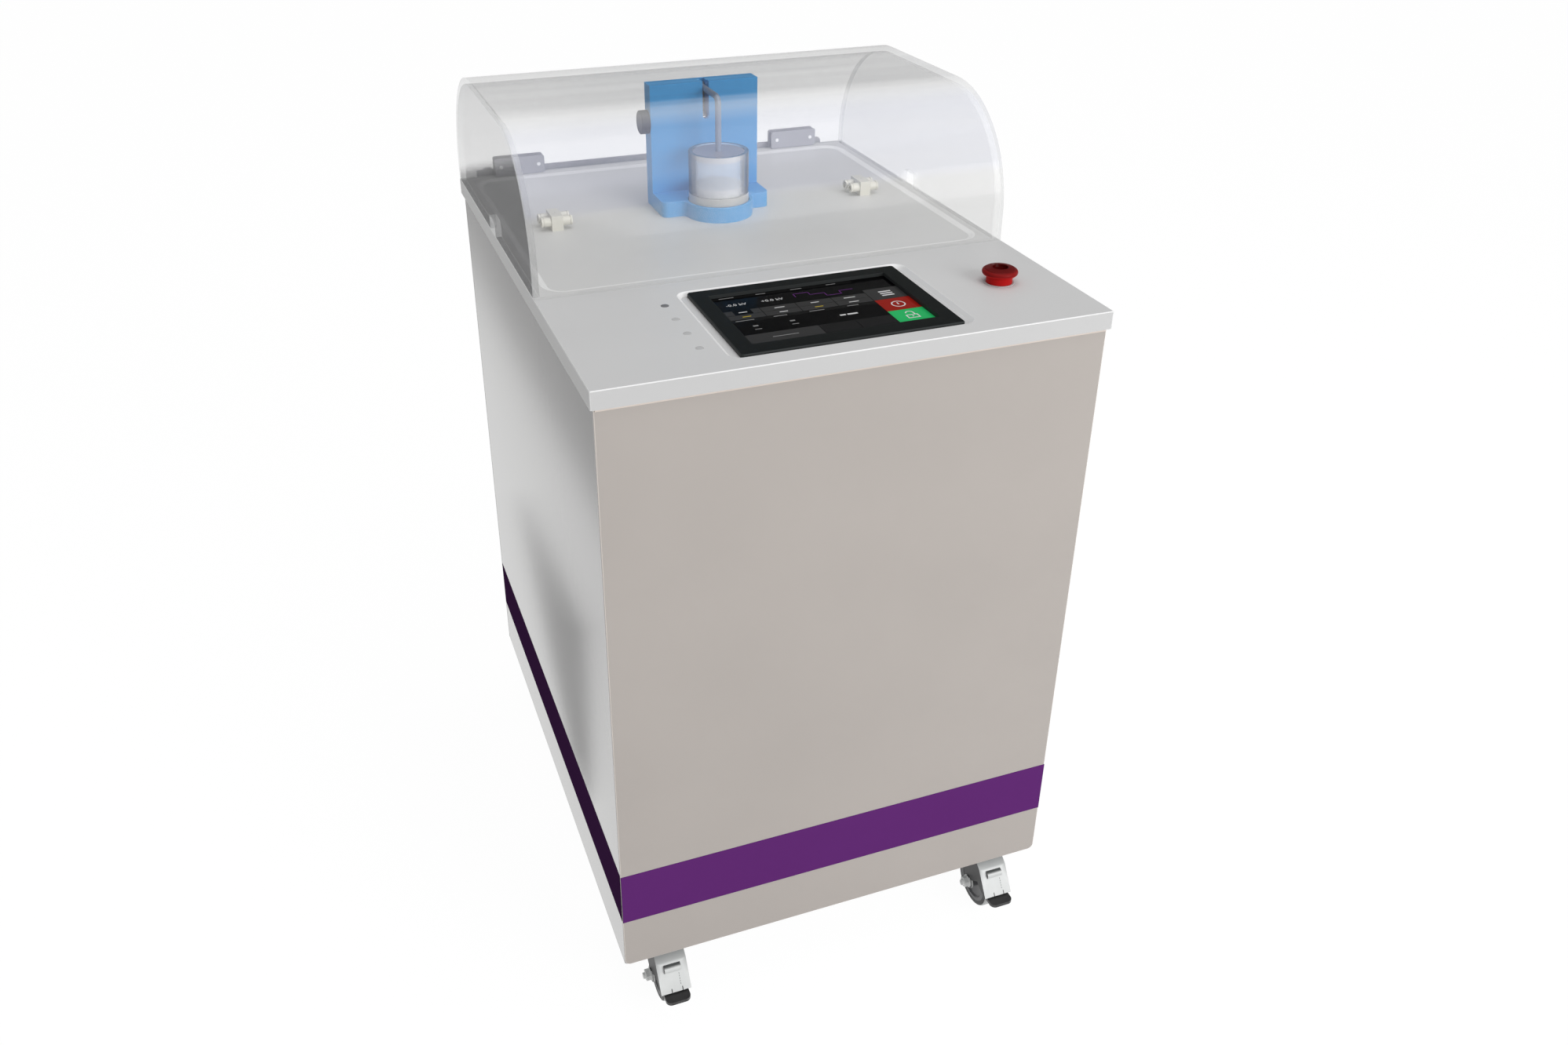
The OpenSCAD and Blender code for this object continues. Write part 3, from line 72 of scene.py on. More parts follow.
def paint(name, colour, rough, metal=0.0, cloud=0.03, cloud_size=6.0, peel=0.12, peel_size=900.0,
          gloss=0.5, stretch=(1.0, 1.0, 1.0), spread=0.05):
    """A finish with a soft change of colour and sheen, and a fine skin on its surface."""
    made, tree, shader = new_material(name)
    feed(shader.inputs["Metallic"], metal)
    feed(shader.inputs["Specular IOR Level"], gloss)
    place = add(tree, "TexCoord")
    lay = add(tree, "Mapping", Vector=place.outputs["Object"], Scale=stretch)
    drift = add(tree, "TexNoise", Vector=lay.outputs["Vector"], Scale=cloud_size, Detail=3.0)
    tint = add(tree, "ValToRGB", Fac=drift.outputs["Fac"])
    darker, paler = tint.color_ramp.elements
    darker.position = 0.3
    paler.position = 0.7
    darker.color = [c * (1 - cloud) for c in colour] + [1]
    paler.color = [min(1.0, c * (1 + cloud)) for c in colour] + [1]
    feed(shader.inputs["Base Color"], tint.outputs["Color"])
    sheen = add(tree, "MapRange", Value=drift.outputs["Fac"], To_Min=max(0.02, rough - spread),
                To_Max=min(1.0, rough + spread))
    feed(shader.inputs["Roughness"], sheen.outputs["Result"])
    skin = add(tree, "TexNoise", Vector=lay.outputs["Vector"], Scale=peel_size, Detail=2.0)
    raised = add(tree, "Bump", Height=skin.outputs["Fac"], Strength=peel, Distance=0.2 * MM)
    feed(shader.inputs["Normal"], raised.outputs["Normal"])
    return made


def dress(material, *names):
    """Gives CAD nodes, which stay as they are, their finish."""
    for name in names:
        nodes[name].data.materials.clear()
        nodes[name].data.materials.append(material)


frame_primer = paint("grey primer", (0.16, 0.17, 0.18), 0.6, peel=0.3)
dress(frame_primer, "frame")

# Bottom panel: plain zinc-plated sheet with four drain holes, riveted under the tube frame.
# Its crystals give it a cloudy, dull shine.
inner_metal = paint("plain sheet", (0.36, 0.37, 0.38), 0.38, metal=0.7, cloud=0.12, cloud_size=30,
                    spread=0.12)
dress(inner_metal, "bottom_panel")


# Casters: a bent zinc-plated housing on a swivel plate, which a cup with a riveted pin carries.
# The axle bolt goes through a moulded hub that has a pale tread, and the brake pedal is bare
# black plastic. The housing's slope carries a scored line and two short slots.
def show(name, bm, material, body, smooth=35, second=None, picked=None):
    """Turns a finished bmesh into a piece that rides on its body."""
    if second:
        bm.normal_update()
        for face in bm.faces:
            face.material_index = 1 if picked(face) else 0
    mesh = bpy.data.meshes.new(name)
    bm.to_mesh(mesh)
    bm.free()
    mesh.materials.append(material)
    if second:
        mesh.materials.append(second)
    mesh.polygons.foreach_set("use_smooth", [True] * len(mesh.polygons))
    mesh.set_sharp_from_angle(angle=math.radians(smooth))
    piece = bpy.data.objects.new(name, mesh)
    bpy.context.scene.collection.objects.link(piece)
    piece.modifiers.new("flat faces stay flat", "WEIGHTED_NORMAL").keep_sharp = True
    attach(piece, body)
    return piece


def off_axis(face):
    """True for a broken edge or a slope, whose normal follows none of the three axes."""
    return max(abs(part) for part in face.normal) < 0.98


def eased(node, name, material, body, ease=0.5, steps=2, corner=30, second=None,
          picked=off_axis):
    """A copy of a CAD solid with its sharp edges rounded, shown in the solid's place."""
    bm = bmesh.new()
    bm.from_mesh(nodes[node].data)
    bmesh.ops.remove_doubles(bm, verts=bm.verts, dist=0.002 * MM)
    bmesh.ops.dissolve_limit(bm, angle_limit=math.radians(0.4), verts=bm.verts, edges=bm.edges)
    sharp = [e for e in bm.edges if e.is_manifold and e.calc_face_angle() > math.radians(corner)]
    bmesh.ops.bevel(bm, geom=sharp, offset=ease * MM, offset_type="OFFSET", affect="EDGES",
                    segments=steps, profile=0.5, material=-1, clamp_overlap=True)
    bmesh.ops.triangulate(bm, faces=[f for f in bm.faces if len(f.verts) > 4])
    piece = show(name, bm, material, body, smooth=50, second=second, picked=picked)
    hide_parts(node)
    return piece


def cover_over(base, share, colour):
    """Lays a colour over the one that feeds a shader input, by a share."""
    mix = base.id_data.nodes.new("ShaderNodeMix")
    mix.data_type = "RGBA"
    feed(mix.inputs["Factor"], share)
    feed(mix.inputs["A"], base.links[0].from_socket)
    feed(mix.inputs["B"], colour)
    feed(base, mix.outputs["Result"])


def parted(made, axis, at, beyond, soft=0.0001, source="Object"):
    """Puts another colour on a finish beyond a place on an axis, or a tilt with source Normal.
    A negative soft width turns the side round."""
    tree = made.node_tree
    base = tree.nodes["Principled BSDF"].inputs["Base Color"]
    place = add(tree, "TexCoord")
    split = add(tree, "SeparateXYZ", Vector=place.outputs[source])
    past = add(tree, "MapRange", Value=split.outputs[axis], From_Min=at, From_Max=at + soft)
    cover_over(base, past.outputs["Result"], (*beyond, 1))


def slab(bm, size, turn):
    """Adds a box of this size in millimetres, placed by a matrix."""
    made = bmesh.ops.create_cube(bm, size=1.0)
    bmesh.ops.scale(bm, vec=[s * MM for s in size], verts=made["verts"])
    bmesh.ops.transform(bm, matrix=turn, verts=made["verts"])


caster_zinc_and_light = paint("zinc plating with painted shade and light", (0.69, 0.705, 0.70), 0.40, metal=0.05, gloss=0.2, cloud=0.04,
                    cloud_size=40, spread=0.06)
# Faces that look upward are painted dark, as painted shade, and everything below 46 mm, such as
# the nuts, is painted nearly white, as painted light.
parted(caster_zinc_and_light, "Z", 0.64, (0.10, 0.105, 0.105), soft=0.30, source="Normal")
parted(caster_zinc_and_light, "Z", 0.046, (0.92, 0.93, 0.92), soft=-0.0001)
cheek_painted_shade = paint("painted shade on the cheeks", (0.11, 0.11, 0.11), 0.5, metal=0.3, gloss=0.2)
slot_painted_shade = paint("painted shade in the cuts", (0.05, 0.05, 0.05), 0.6)
hub_grey = paint("hub plastic", (0.14, 0.14, 0.145), 0.38, cloud=0.05, cloud_size=60)
tyre_pale = paint("pale tread", (0.56, 0.575, 0.57), 0.5, cloud=0.05, cloud_size=80)
tyre_dark = paint("tyre flank", (0.03, 0.03, 0.032), 0.5)
pedal_black = paint("pedal plastic", (0.022, 0.022, 0.023), 0.35, peel=0.3, peel_size=1600)
pedal_edge_highlight = paint("painted highlight on the pedal edges", (0.06, 0.06, 0.06), 0.35)
dress(caster_zinc_and_light, "caster_plates")
caster_x, caster_y, shaded_cheek_reach = 235.5, 313.0, 20.6
up_slope = Vector((0, 0.572, 0.820))
slope = Matrix(((1, 0, 0, 0), (0, up_slope.y, -up_slope.z, 0), (0, up_slope.z, up_slope.y, 0),
                (0, 0, 0, 1)))
slope_foot = Vector((0, -78, 49))
cut_depth = 0.3
# Each cut on the slope has its place across and up the slope, its width and its length.
scored_line = [(7.5, 9.0 + 3.2 * i, 0.5, 1.9) for i in range(5)]
short_slots = [(-5.5, 2.6, 1.1, 5.0), (9.0, 2.6, 1.1, 5.0)]
for corner, side, row in (("fl", -1, -1), ("fr", 1, -1), ("rl", -1, 1), ("rr", 1, 1)):
    caster = "caster_" + corner
    # The housing's cheeks, its faces to either side near the swivel, take a near-black paint as
    # painted shade.
    eased(caster + "_fork", caster + "_housing", caster_zinc_and_light, caster, ease=0.35,
          second=cheek_painted_shade, picked=lambda face: abs(face.normal.x) > 0.97 and abs(
              face.calc_center_median().x - side * caster_x * MM) < shaded_cheek_reach * MM)
    eased(caster + "_hub", caster + "_wheel_disc", hub_grey, "wheel_" + corner,
          ease=0.4)
    eased(caster + "_tyre", caster + "_tread", tyre_pale, "wheel_" + corner,
          ease=0.3, second=tyre_dark, picked=lambda face: abs(face.normal.x) > 0.8)
    # The pedal's eased edges and slopes take a paler black, as a painted highlight.
    eased(caster + "_pedal", caster + "_brake_pedal", pedal_black, "pedal_" + corner,
          ease=0.8, second=pedal_edge_highlight)
    swivel = Matrix.Translation((side * caster_x * MM, row * caster_y * MM, 0))
    if row > 0:
        swivel = swivel @ Matrix.Rotation(math.pi, 4, "Z")
    # The scored line and the slots are thin dark plates: painted shade in the cuts.
    marks = bmesh.new()
    for across, along, wide, length in scored_line + short_slots:
        spot = slope_foot + Vector((across, 0, 0)) + up_slope * along
        slab(marks, (wide, length, cut_depth), swivel @ Matrix.Translation(spot * MM) @ slope)
    show(caster + "_slots", marks, slot_painted_shade, caster)

# Cabinet contents: a potted pulse module, painted capacitor cans, a supply in a sheet case, a
# coated circuit board and a silicone-sleeved lead. They show only through the grille.
potting = paint("potting resin", (0.030, 0.031, 0.034), 0.25, cloud=0.08, cloud_size=20)
can_paint = paint("can paint", (0.07, 0.16, 0.30), 0.35)
board_green = paint("coated board", (0.03, 0.15, 0.06), 0.4, cloud=0.15, cloud_size=60)
lead_sleeve = paint("silicone sleeve", (0.45, 0.06, 0.03), 0.5)
fan_black = paint("fan plastic", (0.025, 0.027, 0.03), 0.45)
dress(potting, "pulse_generator")
dress(inner_metal, "power_supply", "touch_housing")
dress(can_paint, "capacitor_bank")
dress(board_green, "control_board")
dress(lead_sleeve, "hv_lead")
dress(fan_black, "fan_shroud", "fan_rotor")

# Side and rear panels: 2 mm steel sheet, painted in a neutral grey metallic with a satin gloss and
# screwed to the tubes from inside. The rear one has the grille, the inlet's hole and the stud.
side_paint = paint("side panel paint", (0.465, 0.460, 0.453), 0.13, metal=0.4, cloud=0.03,
                   cloud_size=3, peel=0.04, spread=0.02)
# The eased edges of the side panels are painted nearly white, as a painted highlight.
side_edge_highlight = paint("painted highlight on the side panel edges", (0.88, 0.87, 0.86), 0.3)
for side in ("left", "right"):
    eased(side + "_panel", side + "_panel_sheet", side_paint, "cabinet",
          second=side_edge_highlight)
rear_paint = paint("rear panel paint", (0.480, 0.475, 0.468), 0.5, gloss=0.3, cloud=0.03)
eased("rear_panel", "rear_panel_sheet", rear_paint, "cabinet", ease=0.3)

# Mains inlet and rocker switch: moulded black plastic with a fine satin skin. Both are
# snapped into the rear panel from outside.
inlet_black = paint("inlet plastic", (0.015, 0.015, 0.016), 0.35)
dress(inlet_black, "mains_inlet", "mains_switch")

# Front panel: the same sheet in a warmer grey, with rounded lower corners.
# Its eased edges are painted paler, as a painted highlight that makes a thin pale line.
front_paint = paint("front panel paint", (0.474, 0.436, 0.407), 0.42, gloss=0.3, cloud=0.02)
front_edge_highlight = paint("painted highlight on the front panel edges", (0.78, 0.72, 0.67), 0.35, gloss=0.3)
eased("front_panel", "front_panel_sheet", front_paint, "cabinet", ease=0.9,
      steps=3, second=front_edge_highlight)

# Purple band: a plain self-adhesive film, laid round the front and the sides above the foot.
# It is matt, and its length on the left side is painted much darker, as painted shade.
band_film = paint("purple film", (0.124, 0.027, 0.174), 0.6, gloss=0.0, cloud=0.02, peel=0.03)
parted(band_film, "X", -0.2955, (0.050, 0.016, 0.064), soft=-0.0001)
dress(band_film, "stripe_band")

# Top cover: a moulded and painted plate with a hollow underside, a sunk tray under the hood
# and a recess round the touch panel. Its chamfer and its slopes are painted paler than its
# faces, as a painted highlight.
cover_paint_and_light = paint("cover paint with painted light on its left end", (0.615, 0.615, 0.615), 0.42, gloss=0.3, cloud=0.015)
cover_edge_highlight = paint("painted highlight on the cover edges", (0.82, 0.82, 0.82), 0.35, gloss=0.3, cloud=0.015)
# The cover's left end face is painted paler, as painted light on the side in shade.
parted(cover_paint_and_light, "X", -0.2995, (0.74, 0.74, 0.735), soft=-0.0001)
eased("top_cover", "top_cover_plate", cover_paint_and_light, "cabinet", ease=0.35,
      second=cover_edge_highlight)

# Seal: a pale strip of extruded rubber, cut to the width of the front panel. It is pressed in
# under the cover, and stands about a millimetre forward of the panel.
seal_size = (589, 1.2, 3.0)
seal_middle = Vector((0, -371.6, 889.5))
seal_rubber = paint("pale rubber", (0.72, 0.64, 0.58), 0.6)
seal = bmesh.new()
slab(seal, seal_size, Matrix.Translation(seal_middle * MM))
show("cover_seal", seal, seal_rubber, "cabinet")

# Touch panel: a satin black bezel with a window, over a bonded display glass. Under the glass
# lie plain cells, a step curve, two readouts and three key symbols, here as very thin plates.
screen_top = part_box("touch_screen")[1][2] / MM
mark_depth = 0.05


def tiles(name, rects, layer, material):
    """Thin plates on the display, given by their left, front, right and rear edges."""
    low = screen_top + mark_depth * layer
    bm = bmesh.new()
    for left, front, right, rear in rects:
        middle = Vector(((left + right) / 2, (front + rear) / 2, low + mark_depth / 2))
        slab(bm, (right - left, rear - front, mark_depth), Matrix.Translation(middle * MM))
    return show(name, bm, material, "cabinet")


def bars(rows, high):
    """The rectangles of short bars, each given by its middle and half its length."""
    return [(x - half, y - high / 2, x + half, y + high / 2) for x, y, half in rows]


def glow(name, colour, rough=0.15):
    """A colour of the display, under its clear glass."""
    return paint(name, colour, rough, cloud=0.01, peel=0.0, spread=0.01, gloss=0.02)


bezel_black = paint("bezel plastic", (0.0105, 0.0120, 0.0118), 0.42, gloss=0.02, peel=0.06)
bezel_edge_highlight = paint("painted highlight on the bezel edges", (0.032, 0.035, 0.035), 0.4, gloss=0.1, peel=0.06)
screen_glass = glow("display glass", (0.0012, 0.0012, 0.0014), 0.12)
# The bezel's sides and inner edges take a paler black, as a painted highlight.
eased("touch_bezel", "touch_bezel_frame", bezel_black, "cabinet", ease=0.6,
      second=bezel_edge_highlight, picked=lambda face: face.normal.z < 0.9)
dress(screen_glass, "touch_screen")
strip_black = glow("label strip", (0.007, 0.007, 0.007))
cell_grey = glow("display cell", (0.036, 0.036, 0.036))
cell_dim = glow("unused cell", (0.012, 0.012, 0.012))
mark_white = glow("display white", (0.62, 0.62, 0.62))
mark_grey = glow("display grey", (0.22, 0.22, 0.22))
step_purple = glow("step curve", (0.105, 0.025, 0.15))
key_red = glow("red key", (0.262, 0.012, 0.007))
key_green = glow("green key", (0.022, 0.423, 0.120))
mark_yellow = glow("selected value", (0.45, 0.34, 0.03))
columns = (-107.3, -64.4, -21.1, 22.9, 66.3)
left_end, right_end = columns[0], columns[-1]
first_row, first_row_rear = -316.5, -290.3
second_row, third_row = -247.0, -234.3
key_left, key_right = 66.7, 110.0
gap = 0.4
cells = [(columns[i] + gap, row, columns[i + 1] - gap, row + high)
         for i in range(4) for row, high in ((third_row, 12.6), (second_row, 12.0))
         if i or row == second_row]
cells += [(-107.0, third_row, -97.0, -221.7), (-75.3, third_row, -64.8, -221.7),
          (left_end, first_row, -21.4, first_row_rear), (key_left, -246.6, key_right, -213.3)]
tiles("screen_cells", cells, 0, cell_grey)
tiles("screen_strips", [(left_end, -186.3, right_end, -180.0),
                        (left_end, -254.7, right_end, -247.2)], 0, strip_black)
tiles("screen_unused_cells", [(-20.8, first_row, 22.6, first_row_rear),
                              (23.2, first_row, right_end, first_row_rear)], 0, cell_dim)
tiles("screen_red_key", [(key_left, -281.0, key_right, second_row)], 0, key_red)
tiles("screen_green_key", [(key_left, first_row, key_right, -281.4)], 0, key_green)
curve = ((-13.3, -205.3), (-13.3, -196.7), (5.1, -196.7), (5.1, -204.4), (22.7, -204.4),
         (22.7, -213.3), (41.1, -213.3), (41.1, -204.4), (58.0, -204.4))
curve_half = 0.6
tiles("screen_step_curve", [(min(a[0], b[0]) - curve_half, min(a[1], b[1]) - curve_half,
                             max(a[0], b[0]) + curve_half, max(a[1], b[1]) + curve_half)
                            for a, b in zip(curve, curve[1:])], 1, step_purple)
cell_labels = bars([(-86, -228, 5), (-42, -228, 6), (1, -228, 5), (44, -228, 7), (-42, -241, 5),
                    (44, -241, 6)], 1.6)
menu_bars = [(82.0, -231.4 + 5.6 * k, 97.3, -228.7 + 5.6 * k) for k in (-1, 0, 1)]
value_marks = [(12.5, -274.6, 19.5, -271.4), (21.5, -274.6, 34.0, -271.4)]
tiles("screen_labels", cell_labels + menu_bars + value_marks, 1, mark_white)
strip_labels = bars([(-90, -183, 9), (-48, -183, 6), (-4, -183, 7), (40, -183, 6),
                     (-92, -251, 11), (-50, -251, 8), (-6, -251, 9), (38, -251, 7),
                     (-86, -278, 4), (-42.7, -278, 4), (-64, -302.7, 15)], 1.4)
unit_marks = [(x - 3, -270.2, x + 3, -267.2) for x in (-86, -42.7)]
tiles("screen_small_labels", strip_labels + unit_marks, 1, mark_grey)
tiles("screen_values", bars([(-86, -241, 5), (1, -241, 5)], 1.6), 1, mark_yellow)
reading_y, reading_z, reading_high = -205.2, 908.62, 8.6
for name, reading, x in (("screen_low_reading", "-0.0 kV", -85.7),
                         ("screen_high_reading", "+0.0 kV", -42.0)):
    letters = bpy.data.curves.new(name, "FONT")
    letters.body = reading
    letters.size = reading_high * MM
    letters.extrude = mark_depth / 2 * MM
    letters.resolution_u = 2
    letters.align_x = "CENTER"
    letters.align_y = "CENTER"
    holder = bpy.data.objects.new(name + "_curve", letters)
    bpy.context.scene.collection.objects.link(holder)
    bpy.context.view_layer.update()
    shape = bpy.data.meshes.new_from_object(holder.evaluated_get(
        bpy.context.evaluated_depsgraph_get()))
    bpy.data.objects.remove(holder)
    bm = bmesh.new()
    bm.from_mesh(shape)
    bpy.data.meshes.remove(shape)
    bmesh.ops.translate(bm, vec=Vector((x, reading_y, reading_z)) * MM, verts=bm.verts)
    show(name, bm, mark_white, "cabinet")


def ring(bm, middle, radius, wide, angle=360.0):
    """Adds a flat ring, or the first part of one, round a place on the display."""
    low = screen_top + mark_depth
    corners = [bm.verts.new(Vector((middle[0] + r, middle[1], z)) * MM)
               for r, z in ((radius, low), (radius + wide, low),
                            (radius + wide, low + mark_depth), (radius, low + mark_depth))]
    edges = [bm.edges.new((corners[i], corners[(i + 1) % 4])) for i in range(4)]
    bmesh.ops.spin(bm, geom=corners + edges, cent=Vector((*middle, 0)) * MM, axis=(0, 0, 1),
                   angle=math.radians(angle), steps=36, use_merge=angle == 360.0)


def outlined(left, front, right, rear, wide):
    """The four bars along the edges of a rectangle."""
    return [(left, front, right, front + wide), (left, rear - wide, right, rear),
            (left, front + wide, left + wide, rear - wide),
            (right - wide, front + wide, right, rear - wide)]


line_wide = 1.5
key_middle, ring_y, lock_rear, shackle_y = 88.4, -264.4, -297.3, -292.6
symbols = bmesh.new()
ring(symbols, (key_middle, ring_y), 6.9, line_wide)
ring(symbols, (key_middle, shackle_y), 3.6, line_wide, angle=180.0)
bmesh.ops.recalc_face_normals(symbols, faces=symbols.faces)
show("screen_rings", symbols, mark_white, "cabinet")
ring_bar = [(87.6, -266.0, 89.2, -260.2)]
padlock = outlined(81.0, -307.0, 95.7, lock_rear, line_wide)
padlock += [(92.0, lock_rear, 92.0 + line_wide, shackle_y), (87.6, -303.4, 89.1, -300.8)]
tiles("screen_symbols", ring_bar + padlock, 1, mark_white)

# Indicator lights: four frosted lenses, pressed flush into the cover and unlit.
# The rearmost one is darker than the others.
light_lens = paint("frosted lens", (0.47, 0.47, 0.47), 0.5, cloud=0.03, cloud_size=60)
parted(light_lens, "Y", -0.21, (0.16, 0.16, 0.165))
dress(light_lens, "status_lights")


# Stop button: a moulded red mushroom head with a rolled rim and a sunk middle. Its stem slides
# in a black barrel with a grey collar, which a ring nut holds under the cover.
def worked(tree, kind, first, second):
    """The result of a maths node on two outputs or numbers."""
    node = tree.nodes.new("ShaderNodeMath")
    node.operation = kind
    feed(node.inputs[0], first)
    feed(node.inputs[1], second)
    return node.outputs[0]


def turned(made, middle, rings, span=25.0):
    """Gives the faces above a place flat rings of colour round its upright axis. Each ring has
    its radius in millimetres, and the span is a radius past the last one."""
    tree = made.node_tree
    place = add(tree, "TexCoord")
    shift = tree.nodes.new("ShaderNodeVectorMath")
    shift.operation = "SUBTRACT"
    feed(shift.inputs[0], place.outputs["Object"])
    feed(shift.inputs[1], middle)
    split = add(tree, "SeparateXYZ", Vector=shift.outputs[0])
    flat = add(tree, "CombineXYZ", X=split.outputs["X"], Y=split.outputs["Y"])
    reach = tree.nodes.new("ShaderNodeVectorMath")
    reach.operation = "LENGTH"
    feed(reach.inputs[0], flat.outputs["Vector"])
    share = worked(tree, "MULTIPLY", reach.outputs["Value"], 1 / (span * MM))
    ramp = add(tree, "ValToRGB", Fac=share)
    while len(ramp.color_ramp.elements) < len(rings):
        ramp.color_ramp.elements.new(1.0)
    for element, (radius, colour) in zip(ramp.color_ramp.elements, rings):
        element.position = radius / span
        element.color = (*colour, 1)
    above = worked(tree, "GREATER_THAN", split.outputs["Z"], 0.0)
    cover_over(tree.nodes["Principled BSDF"].inputs["Base Color"], above, ramp.outputs["Color"])


barrel_black = paint("barrel plastic", (0.03, 0.03, 0.03), 0.5)
parted(barrel_black, "Z", 0.9126, (0.50, 0.50, 0.50))
stop_red = paint("stop red", (0.45, 0.010, 0.010), 0.35, gloss=0.05, cloud=0.04, cloud_size=40)
# The head's top is painted in dark red rings round its middle, darkest in the dish, as painted
# shade.
head_middle = (0.224, -0.253, 0.925)
head_shade_rings = ((0.0, (0.050, 0.0, 0.0)), (9.2, (0.054, 0.0, 0.0)), (10.0, (0.10, 0.005, 0.005)),
              (17.2, (0.12, 0.006, 0.006)), (19.8, (0.22, 0.010, 0.010)))
turned(stop_red, head_middle, head_shade_rings)
dress(barrel_black, "estop_barrel", "estop_stem")
eased("estop_head", "estop_mushroom", stop_red, "stop_head", ease=0.4)

# Chamber stand: a base with a round boss and three upright plates, milled from blue plastic
# and screwed together. The cutter's fine feed marks show, and the broken edges are painted
# paler, as a painted highlight.
stand_blue = paint("blue plastic", (0.052, 0.315, 0.660), 0.4, gloss=0.15, cloud=0.03,
                   cloud_size=20, peel=0.2, peel_size=300, stretch=(1, 1, 0.15))
stand_edge_highlight = paint("painted highlight on the blue edges", (0.20, 0.55, 0.95), 0.35, gloss=0.3)
for part in ("stand_base", "stand_front_plate", "stand_middle_plate", "stand_rear_plate"):
    eased(part, part + "_block", stand_blue, "cabinet", second=stand_edge_highlight,
          picked=lambda face: 0.1 < face.normal.z < 0.98)

# Electrodes: turned steel discs with fine tool rings. The lower one stands in the boss and has
# a row of drilled ports just above its foot, and the upper one hangs on its rod.
electrode_steel = paint("turned steel", (0.50, 0.50, 0.50), 0.35, metal=0.2, cloud=0.05,
                        cloud_size=120, stretch=(1, 1, 8))
port_shade = paint("painted shade in a port", (0.10, 0.10, 0.10), 0.5)
eased("lower_electrode", "lower_electrode_disc", electrode_steel, "cabinet")
electrode_top_shade = paint("painted shade on the upper electrode's top", (0.25, 0.25, 0.29), 0.4, metal=0.2,
                      cloud_size=120)
# The upper electrode's top faces are painted a darker mauve grey, as painted shade.
eased("upper_electrode", "upper_electrode_disc", electrode_steel, "electrode_slide",
      second=electrode_top_shade, picked=lambda face: face.normal.z > 0.9)
# The ports are short dark pegs set in the disc's side: painted shade in the holes.
port_count, port_radius, port_depth = 16, 1.5, 0.7
port_reach = 33.95
electrode_middle = Vector((2, 105.5, 943.7))
ports = bmesh.new()
for i in range(port_count):
    turn = Matrix.Rotation(2 * math.pi * (i + 0.5) / port_count, 4, "Z")
    outward = Matrix.Translation((port_reach * MM, 0, 0)) @ Matrix.Rotation(math.pi / 2, 4, "Y")
    bmesh.ops.create_cone(ports, cap_ends=True, segments=12, radius1=port_radius * MM,
                          radius2=port_radius * MM, depth=port_depth * MM,
                          matrix=Matrix.Translation(electrode_middle * MM) @ turn @ outward)
show("electrode_ports", ports, port_shade, "cabinet")

# Rod, rack and pinion: a ground steel rod, bent once and fixed to the head of a toothed rack.
# The rack slides in the slots of the stand's plates, and the pinion shaft lifts it.
rod_steel = paint("ground rod", (0.22, 0.28, 0.38), 0.4, metal=0.2)
gear_steel = paint("cut steel", (0.40, 0.41, 0.42), 0.35, metal=0.9)
dress(rod_steel, "electrode_rod")
dress(gear_steel, "lift_rack", "pinion_shaft")

# Lift knob: turned grey plastic with a fine grained skin. It is pressed on the end of the
# pinion shaft, at the stand's left side.
knob_grey = paint("knob plastic", (0.016, 0.018, 0.021), 0.5, gloss=0.1, peel=0.2, peel_size=1500)
eased("lift_knob", "lift_knob_turned", knob_grey, "lift_drive", ease=0.4)


# Glass cylinder: a cut length of clear tube with ground ends, over the lower electrode. It is
# painted pale where it is faced and dark along its outline, as painted reflection.
def walled(name, faced, edge, thin, thick):
    """Clear glass that darkens towards the outline of the piece."""
    made, tree, shader = new_material(name)
    place = add(tree, "TexCoord")
    drift = add(tree, "TexNoise", Vector=place.outputs["Object"], Scale=40.0)
    sheen = add(tree, "MapRange", Value=drift.outputs["Fac"], To_Min=0.03, To_Max=0.10)
    feed(shader.inputs["Roughness"], sheen.outputs["Result"])
    facing = add(tree, "LayerWeight", Blend=0.5)
    ramp = add(tree, "ValToRGB", Fac=facing.outputs["Facing"])
    front, outline = ramp.color_ramp.elements
    front.position = 0.30
    outline.position = 0.60
    front.color = (*faced, 1)
    outline.color = (*edge, 1)
    feed(shader.inputs["Base Color"], ramp.outputs["Color"])
    cover = add(tree, "MapRange", Value=facing.outputs["Facing"], From_Min=0.38, From_Max=0.66,
                To_Min=thin, To_Max=thick)
    feed(shader.inputs["Alpha"], cover.outputs["Result"])
    return made


def see_through(sheet):
    """Keeps a clear piece from darkening what is behind it."""
    sheet.visible_shadow = False
    sheet.visible_diffuse = False


chamber_glass = walled("chamber glass", (0.90, 0.93, 0.95), (0.04, 0.07, 0.10), thin=0.28,
                       thick=0.85)
see_through(eased("glass_cylinder", "glass_cylinder_tube", chamber_glass, "glass",
                  ease=0.4))

# Tube fittings: moulded cream plastic blocks, each a cross with four push-in ports for tubes.
# They are screwed to the tray on either side of the stand.
fitting_cream = paint("cream plastic", (0.66, 0.645, 0.575), 0.32, cloud=0.03, cloud_size=60)
for side in ("left", "right"):
    eased("fitting_" + side, "fitting_%s_block" % side, fitting_cream, "cabinet",
          ease=0.3)

# Hinges: matt anodised clamp plates on the hood and a rail with knuckles on the cover. Small
# countersunk screws hold the plates.
hinge_metal = paint("anodised metal", (0.36, 0.36, 0.39), 0.45, metal=0.3, cloud_size=40)
screw_steel = paint("screw steel", (0.90, 0.90, 0.92), 0.3, metal=0.3)
eased("hinge_rail", "hinge_rail_bar", hinge_metal, "cabinet", ease=0.3)
eased("hinge_clamps", "hinge_clamp_plates", hinge_metal, "hood", ease=0.4)
dress(screw_steel, "hinge_screws")
